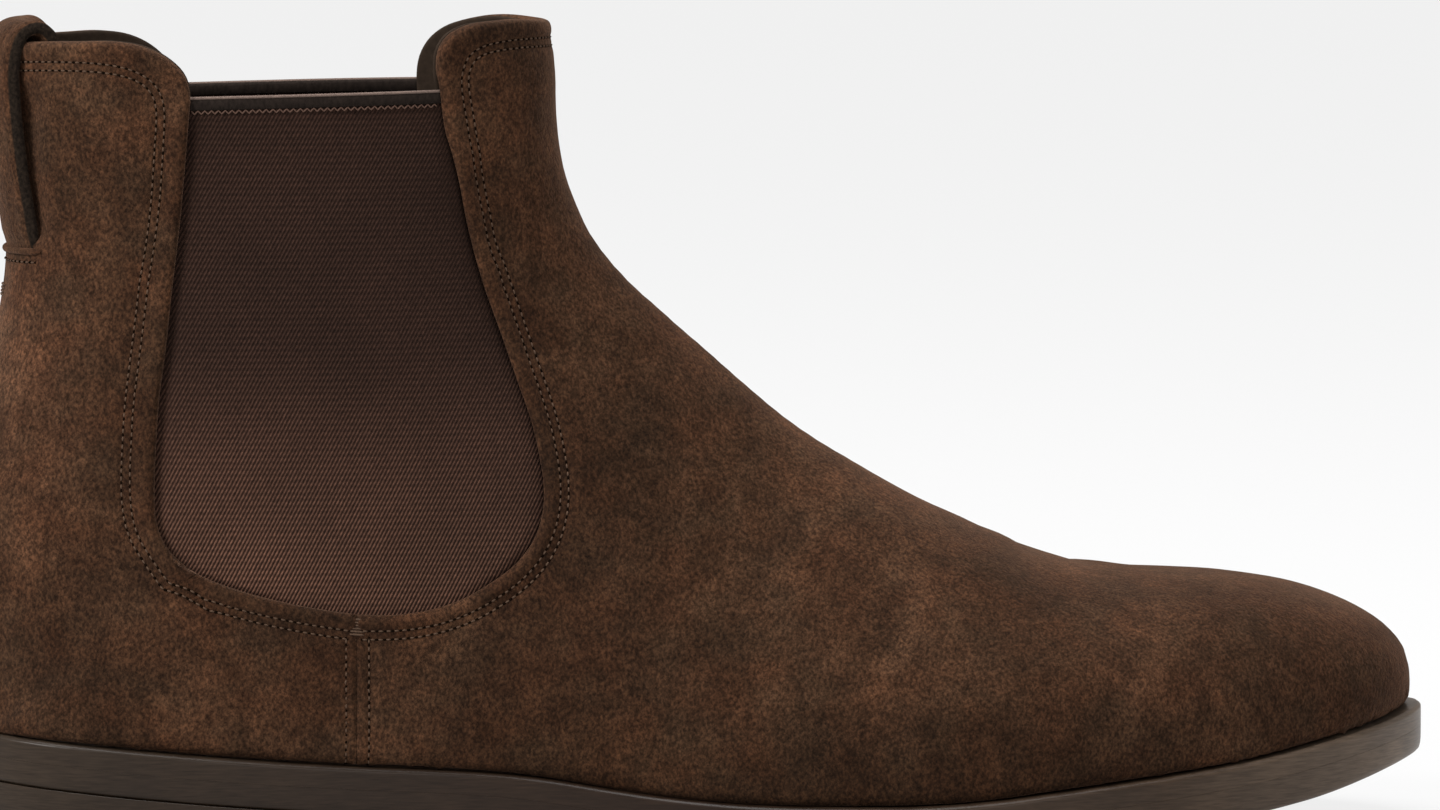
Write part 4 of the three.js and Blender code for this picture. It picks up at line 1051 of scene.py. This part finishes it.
# ---- pull tab ------------------------------------------------------------------------
TAB = [(-25.9, 121.6), (-26.1, 124.0), (-26.6, 127.0), (-27.3, 131.5), (-28.2, 137), (-29.2, 145), (-30.0, 153.5), (-30.2, 159.5), (-29.6, 163.8), (-28.4, 166.7), (-26.5, 168.2), (-24.4, 168.3), (-22.6, 166.9), (-21.5, 163.4), (-21.0, 158), (-20.9, 151), (-20.8, 146)]
back_curve = lambda y: .92 * 57 * (1 - (1 - (np.abs(y) / 28.4) ** 2.3) ** (1 / 2.3))
path = catmull(TAB, 9)
tan = np.gradient(path, axis=0); tan /= np.linalg.norm(tan, axis=1, keepdims=True)
nx, nz = -tan[:, 1], tan[:, 0]
w, th = 26.6, 2.9
ys = np.linspace(-1, 1, 33)
rim = np.clip((np.abs(ys) - .955) / .045, 0, 1)
half = th / 2 - .42 * (1 - np.sqrt(np.clip(1 - rim ** 2, 0, 1)))
prof = np.array([(y * w / 2, -h_) for y, h_ in zip(ys, half)] + [(ys[-1] * w / 2 + .12, 0)] + [(y * w / 2, h_) for y, h_ in zip(ys[::-1], half[::-1])] + [(ys[0] * w / 2 - .12, 0)])
verts = []
for i in range(len(path)):
    groove = .16 * gauss(np.abs(prof[:, 0]), w / 2 - 2.4, .45)
    k = (prof[:, 1] - np.sign(prof[:, 1]) * groove) * (.52 + .48 * min(1, max(0, (path[i, 1] - 121.6) / 5)) if i < len(path) / 2 else 1)
    verts.append(np.stack([path[i, 0] + nx[i] * k + back_curve(prof[:, 0]), prof[:, 0], path[i, 1] + nz[i] * k], -1))
m = len(prof); verts = np.array(verts); f = []
for i in range(len(path) - 1):
    for k in range(m):
        f.append((i * m + k, i * m + (k + 1) % m, (i + 1) * m + (k + 1) % m, (i + 1) * m + k))
h = len(ys)
for base, flip in ((0, True), ((len(path) - 1) * m, False)):
    row_a = [m - 1] + list(range(h)) ; row_b = [m - 1] + list(range(2 * h, h, -1))
    f.append(tuple(base + i for i in (range(m) if not flip else reversed(range(m)))))
STRAP_MAT = suede_material("suede_strap", 1.05, cut=w / 2000 - .00035)
strap = make("pull_tab_strap", verts.reshape(-1, 3), f, STRAP_MAT, body=None, slot="suede", stands_for=["pull_tab", "pull_tab_tail"], weld=0.001)
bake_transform(strap)

# the folded lip of the slit that the strap comes out of, and its stitch row
yy = np.linspace(-15.2, 15.2, 61)


def around_back(z, yy):
    """Skin points and normals round the back at height z."""
    P, N = [], []
    for s in (-1, 1):
        us = np.linspace(.45, 1, 400)
        ts = np.full(400, .86)
        for _ in range(24):
            p = skin(ts, s * us); ts = np.clip(ts + (z - p[:, 2]) * .0035, HEEL_T, 1)
        p = skin(ts, s * us); yv = np.abs(p[:, 1])
        P.append((ts, us, yv))
    T_, U_ = [], []
    for y in yy:
        ts, us, yv = P[0] if y < 0 else P[1]
        o = np.argsort(yv)
        u_ = np.interp(abs(y), yv[o], us[o]); t_ = np.interp(abs(y), yv[o], ts[o])
        T_.append(t_); U_.append(u_ * (-1 if y < 0 else 1))
    T_, U_ = np.array(T_), np.array(U_)
    return skin(T_, U_), frame_at(T_, U_)[0], T_, U_


P_, N_, T_, U_ = around_back(122.6, yy)
taper = np.clip((15.2 - np.abs(yy)) / 1.6, 0.12, 1) ** .5
lip_v, lip_f = tube_mesh(P_ + N_ * .12, .72 * taper, 12, normals=N_, flat=.95)
make("tab_slit_lip", lip_v, lip_f, SUEDE_MAT, slot="suede", weld=0.001)
P_, N_, T_, U_ = around_back(120.4, np.linspace(-14.2, 14.2, 80))
for s in (-1, 1):
    k = (U_ < 0) if s < 0 else (U_ >= 0)
    stitch_row(QUARTER[s], T_[k], U_[k])
for z in (113.0, 113.7, 114.4, 115.1):       # bar tack at the back seam
    P_, N_, T_, U_ = around_back(z, np.linspace(-3.2, 3.2, 9))
    v, f = bead(P_ + N_ * .12, N_, .3 * np.array([.5, .8, 1, 1, 1, 1, 1, .8, .5]))
    THREADS.add(v, f)
THREADS.make("stitching", THREAD_MAT, slot="suede")
HOLE_SHADES.make("hole_shades", HOLE_SHADE_MAT, slot="suede")


# ---- the bottom -----------------------------------------------------------------------
loop = np.concatenate([OUTER[:-1], INNER[::-1][:-1]])


def even(loop, step):
    p = np.concatenate([loop, loop[:1]]); s = np.concatenate([[0], np.cumsum(np.linalg.norm(np.diff(p, axis=0), axis=1))])
    n = int(s[-1] / step); q = np.linspace(0, s[-1], n, endpoint=False)
    return np.stack([np.interp(q, s, p[:, 0]), np.interp(q, s, p[:, 1])], -1)


def out_normals(L):
    t = np.roll(L, -1, 0) - np.roll(L, 1, 0)
    n = np.stack([t[:, 1], -t[:, 0]], -1); n /= np.linalg.norm(n, axis=1, keepdims=True)
    area = np.sum(L[:, 0] * np.roll(L[:, 1], -1) - np.roll(L[:, 0], -1) * L[:, 1])
    return n if area > 0 else -n


LOOP = even(loop, 1.6)
LOOP_N = out_normals(LOOP)
for _ in range(3):
    LOOP_N = LOOP_N + np.roll(LOOP_N, 1, 0) + np.roll(LOOP_N, -1, 0)
LOOP_N /= np.linalg.norm(LOOP_N, axis=1, keepdims=True)


def cap(points2d, zfun, grid=4.0):
    """Fills an outline with triangles at height zfun(x)."""
    lo_, hi_ = points2d.min(0), points2d.max(0)
    X, Y = np.meshgrid(np.arange(lo_[0], hi_[0], grid), np.arange(lo_[1], hi_[1], grid), indexing="ij")
    g = np.stack([X.ravel() + .37, Y.ravel() + .21], -1)
    g = g[inside_polygon(points2d, g)]
    tr = tree_of(np.c_[points2d, np.zeros(len(points2d))])
    g = g[dist(tr, np.c_[g, np.zeros(len(g))]) > grid * .45]
    pts = np.concatenate([points2d, g]); n = len(points2d)
    v, e, f, ov, oe, of = delaunay_2d_cdt([Vector(p) for p in pts], [(i, (i + 1) % n) for i in range(n)], [], 1, 1e-5, True)
    v = np.array([p[:] for p in v]); f = np.array([q[:3] for q in f])
    f = f[inside_polygon(points2d, v[f].mean(1))]
    return v, [tuple(int(i) for i in q) for q in f]


def slab(name, loop2, normals, prof, mat, grid=4.0, **kw):
    """prof: list of (outset, zfun) rings from the top face to the bottom face."""
    rings = []
    for o, zfun in prof:
        p = loop2 + normals * o
        rings.append(np.c_[p, zfun(p[:, 0])])
    R = np.array(rings); m, n = R.shape[:2]; v = [R.reshape(-1, 3)]; f = []
    for i in range(m - 1):
        for j in range(n):
            f.append((i * n + j, i * n + (j + 1) % n, (i + 1) * n + (j + 1) % n, (i + 1) * n + j))
    base = m * n
    for (o, zfun), flip in ((prof[0], False), (prof[-1], True)):
        p, t = cap((loop2 + normals * o), zfun, grid)
        v.append(np.c_[p, zfun(p[:, 0])])
        f += [tuple(base + i for i in (q[::-1] if flip else q)) for q in t]
        base += len(p)
    return make(name, np.concatenate(v), f, mat, weld=0.003, sharp=40, **kw)


def ring_solid(name, loop2, normals, prof, mat, keep=None, **kw):
    """A closed profile of (outset, dz) swept round the feather line."""
    n = len(loop2); m = len(prof); rings = []
    for o, dz in prof:
        p = loop2 + normals * o
        rings.append(np.c_[p, zf(p[:, 0]) + dz])
    R = np.array(rings)
    idx = np.arange(n) if keep is None else keep
    v = R[:, idx].reshape(-1, 3); k = len(idx); f = []
    closed = keep is None
    for i in range(m):
        for j in range(k if closed else k - 1):
            f.append((i * k + j, i * k + (j + 1) % k, ((i + 1) % m) * k + (j + 1) % k, ((i + 1) % m) * k + j))
    if not closed:
        f.append(tuple(i * k for i in range(m))); f.append(tuple(i * k + k - 1 for i in range(m))[::-1])
    return make(name, v, f, mat, weld=0.001, sharp=40, **kw)


WELT_PROF = [(-7.6, 0.0), (2.05, 0.0), (2.2, -.04), (2.72, -.48), (2.86, -.70), (2.89, -1.0), (2.90, -1.6), (2.90, -2.6), (2.90, -3.9), (2.90, -4.50), (-7.6, -4.50)]
front_idx = np.where(LOOP[:, 0] >= SEAM_X - 4)[0]
rear_idx = np.where(LOOP[:, 0] < SEAM_X - 4)[0]


def run_from(mask):
    """Indices of one unbroken run round the loop."""
    n = len(mask); start = [i for i in range(n) if mask[i] and not mask[i - 1]][0]
    out = []; i = start
    while mask[i % n]:
        out.append(i % n); i += 1
    return np.array(out)


split = SEAM_X - 4.0
front = run_from(LOOP[:, 0] >= split)
front = np.concatenate([[(front[0] - 1) % len(LOOP)], front, [(front[-1] + 1) % len(LOOP)]])
back = run_from(LOOP[:, 0] < split)
ring_solid("welt_strip", LOOP, LOOP_N, WELT_PROF, WELT_MAT, keep=front, slot="welt", stands_for=["welt"])
ring_solid("heel_rand_strip", LOOP, LOOP_N, WELT_PROF, WELT_MAT, keep=back, slot="welt", stands_for=["heel_rand"])
ease = lambda k: np.clip(k, 0, 1) ** 2 * (3 - 2 * np.clip(k, 0, 1))
bottom = lambda x: np.maximum(0.0, zf(x) - DROP - 1.3 * ease((x - 125) / 40) * ease((269 - x) / 30))
rel = lambda dz: (lambda x: zf(x) + dz)
edge = lambda k: (lambda x: bottom(x) + k)
slab("outsole_body", LOOP, LOOP_N, [(1.2, rel(-4.52)), (2.86, rel(-4.52)), (2.90, rel(-4.56)), (2.90, rel(-5.6)), (2.90, rel(-6.6)), (2.88, edge(2.2)), (2.80, edge(1.2)), (2.60, edge(.45)), (2.2, edge(.1)), (1.2, edge(0.0))], SOLE_MAT, slot="sole", stands_for=["outsole"])


def heel_loop(outset, front):
    p = LOOP + LOOP_N * outset
    run = run_from(p[:, 0] < front - .6)
    q = p[run]
    a, b = q[-1], q[0]
    k = np.linspace(0, 1, 40)[1:-1]
    x = front + 0 * k
    line = np.stack([x, a[1] + (b[1] - a[1]) * k], -1)
    line[0, 0] = line[-1, 0] = front - .25
    return np.concatenate([q, line])


for nm, node, top, bot, o, fr, mat, slot_ in (
        ("heel_wedge", "heel_lift_1", lambda x: zf(x) - DROP - .03, lambda x: x * 0 + TOP_PIECE + 2.5, 2.84, HEEL_BREAST, SOLE_MAT, "sole"),
        ("heel_lift", "heel_lift_2", lambda x: x * 0 + TOP_PIECE + 2.47, lambda x: x * 0 + TOP_PIECE + .1, 2.82, HEEL_BREAST - .1, SOLE_MAT, "sole"),
        ("heel_top_rubber", "heel_top_piece", lambda x: x * 0 + TOP_PIECE, lambda x: x * 0, 2.5, HEEL_BREAST - .3, RUBBER_MAT, "rubber")):
    L = heel_loop(o, fr); Nn = out_normals(L)
    mk = lambda fn, d: (lambda x: fn(x) + d)
    slab(nm, L, Nn, [(-.5, top), (-.08, mk(top, -.02)), (0, mk(top, -.10)), (0.02, lambda x: (top(x) + bot(x)) / 2), (0, mk(bot, .3)), (-.15, mk(bot, .08)), (-.5, bot)], mat, grid=5, slot=slot_, stands_for=[node])

slab("sock", LOOP, LOOP_N, [(-5.4, rel(6.0)), (-5.0, rel(5.9)), (-4.8, rel(5.5)), (-4.8, rel(4.9))], SOCK_MAT, slot="sock", stands_for=["sock_liner"])

# ---- stage, light and camera ------------------------------------------------------------
stage_mat = bpy.data.materials.new("stage"); stage_mat.use_nodes = True
sb = stage_mat.node_tree.nodes["Principled BSDF"]
sb.inputs["Base Color"].default_value = (.09, .09, .09, 1); sb.inputs["Roughness"].default_value = .95
sb.inputs["Specular IOR Level"].default_value = 0.0
sb.inputs["Emission Color"].default_value = (1, 1, 1, 1); sb.inputs["Emission Strength"].default_value = .835
prof = [(13 + 1.2 * math.sin(k), 1.2 - 1.2 * math.cos(k)) for k in np.linspace(0, math.pi / 2, 10)]
N = 96
sv = [(.12 + r * math.cos(2 * math.pi * k / N), r * math.sin(2 * math.pi * k / N), z - .0002) for r, z in prof for k in range(N)]
sf = [tuple(range(N))] + [(i * N + k, i * N + (k + 1) % N, (i + 1) * N + (k + 1) % N, (i + 1) * N + k) for i in range(len(prof) - 1) for k in range(N)]
sm = bpy.data.meshes.new("stage"); sm.from_pydata(sv, [], sf); sm.materials.append(stage_mat)
sm.polygons.foreach_set("use_smooth", [False] + [True] * (len(sm.polygons) - 1))
stage = bpy.data.objects.new("stage", sm); bpy.context.scene.collection.objects.link(stage)

world = bpy.data.worlds.new("world"); bpy.context.scene.world = world; world.use_nodes = True
bg = world.node_tree.nodes["Background"]; bg.inputs["Color"].default_value = (1, 1, 1, 1); bg.inputs["Strength"].default_value = .36


def area(name, loc, target, size, power, color=(1, 1, 1)):
    l = bpy.data.lights.new(name, "AREA"); l.shape = "RECTANGLE"; l.size, l.size_y = size; l.energy = power; l.color = color
    o = bpy.data.objects.new(name, l); bpy.context.scene.collection.objects.link(o)
    o.location = loc; o.rotation_euler = (Vector(target) - Vector(loc)).to_track_quat("-Z", "Y").to_euler()
    return o


area("key", (-1.15, -.70, 1.05), (.05, 0, .08), (.75, .55), 36)
area("top", (.10, .10, 1.5), (.12, 0, .05), (1.2, .8), 26)
area("fill", (.5, -1.5, .7), (.15, 0, .06), (1.0, .8), 7)

cam_data = bpy.data.cameras.new("camera"); cam = bpy.data.objects.new("camera", cam_data)
bpy.context.scene.collection.objects.link(cam); bpy.context.scene.camera = cam
CAM_T = Vector((.1210, 0, .0884)); AZ, EL, DIST = math.radians(-7), math.radians(5), 2.2
cam.location = CAM_T + DIST * Vector((math.sin(AZ) * math.cos(EL), -math.cos(AZ) * math.cos(EL), math.sin(EL)))
cam.rotation_euler = (CAM_T - cam.location).to_track_quat("-Z", "Y").to_euler()
cam_data.sensor_width = 36; cam_data.lens = 36 * DIST / (1.440 * .208)
cam_data.clip_start = .05; cam_data.clip_end = 50
bpy.context.scene.view_settings.view_transform = "Standard"
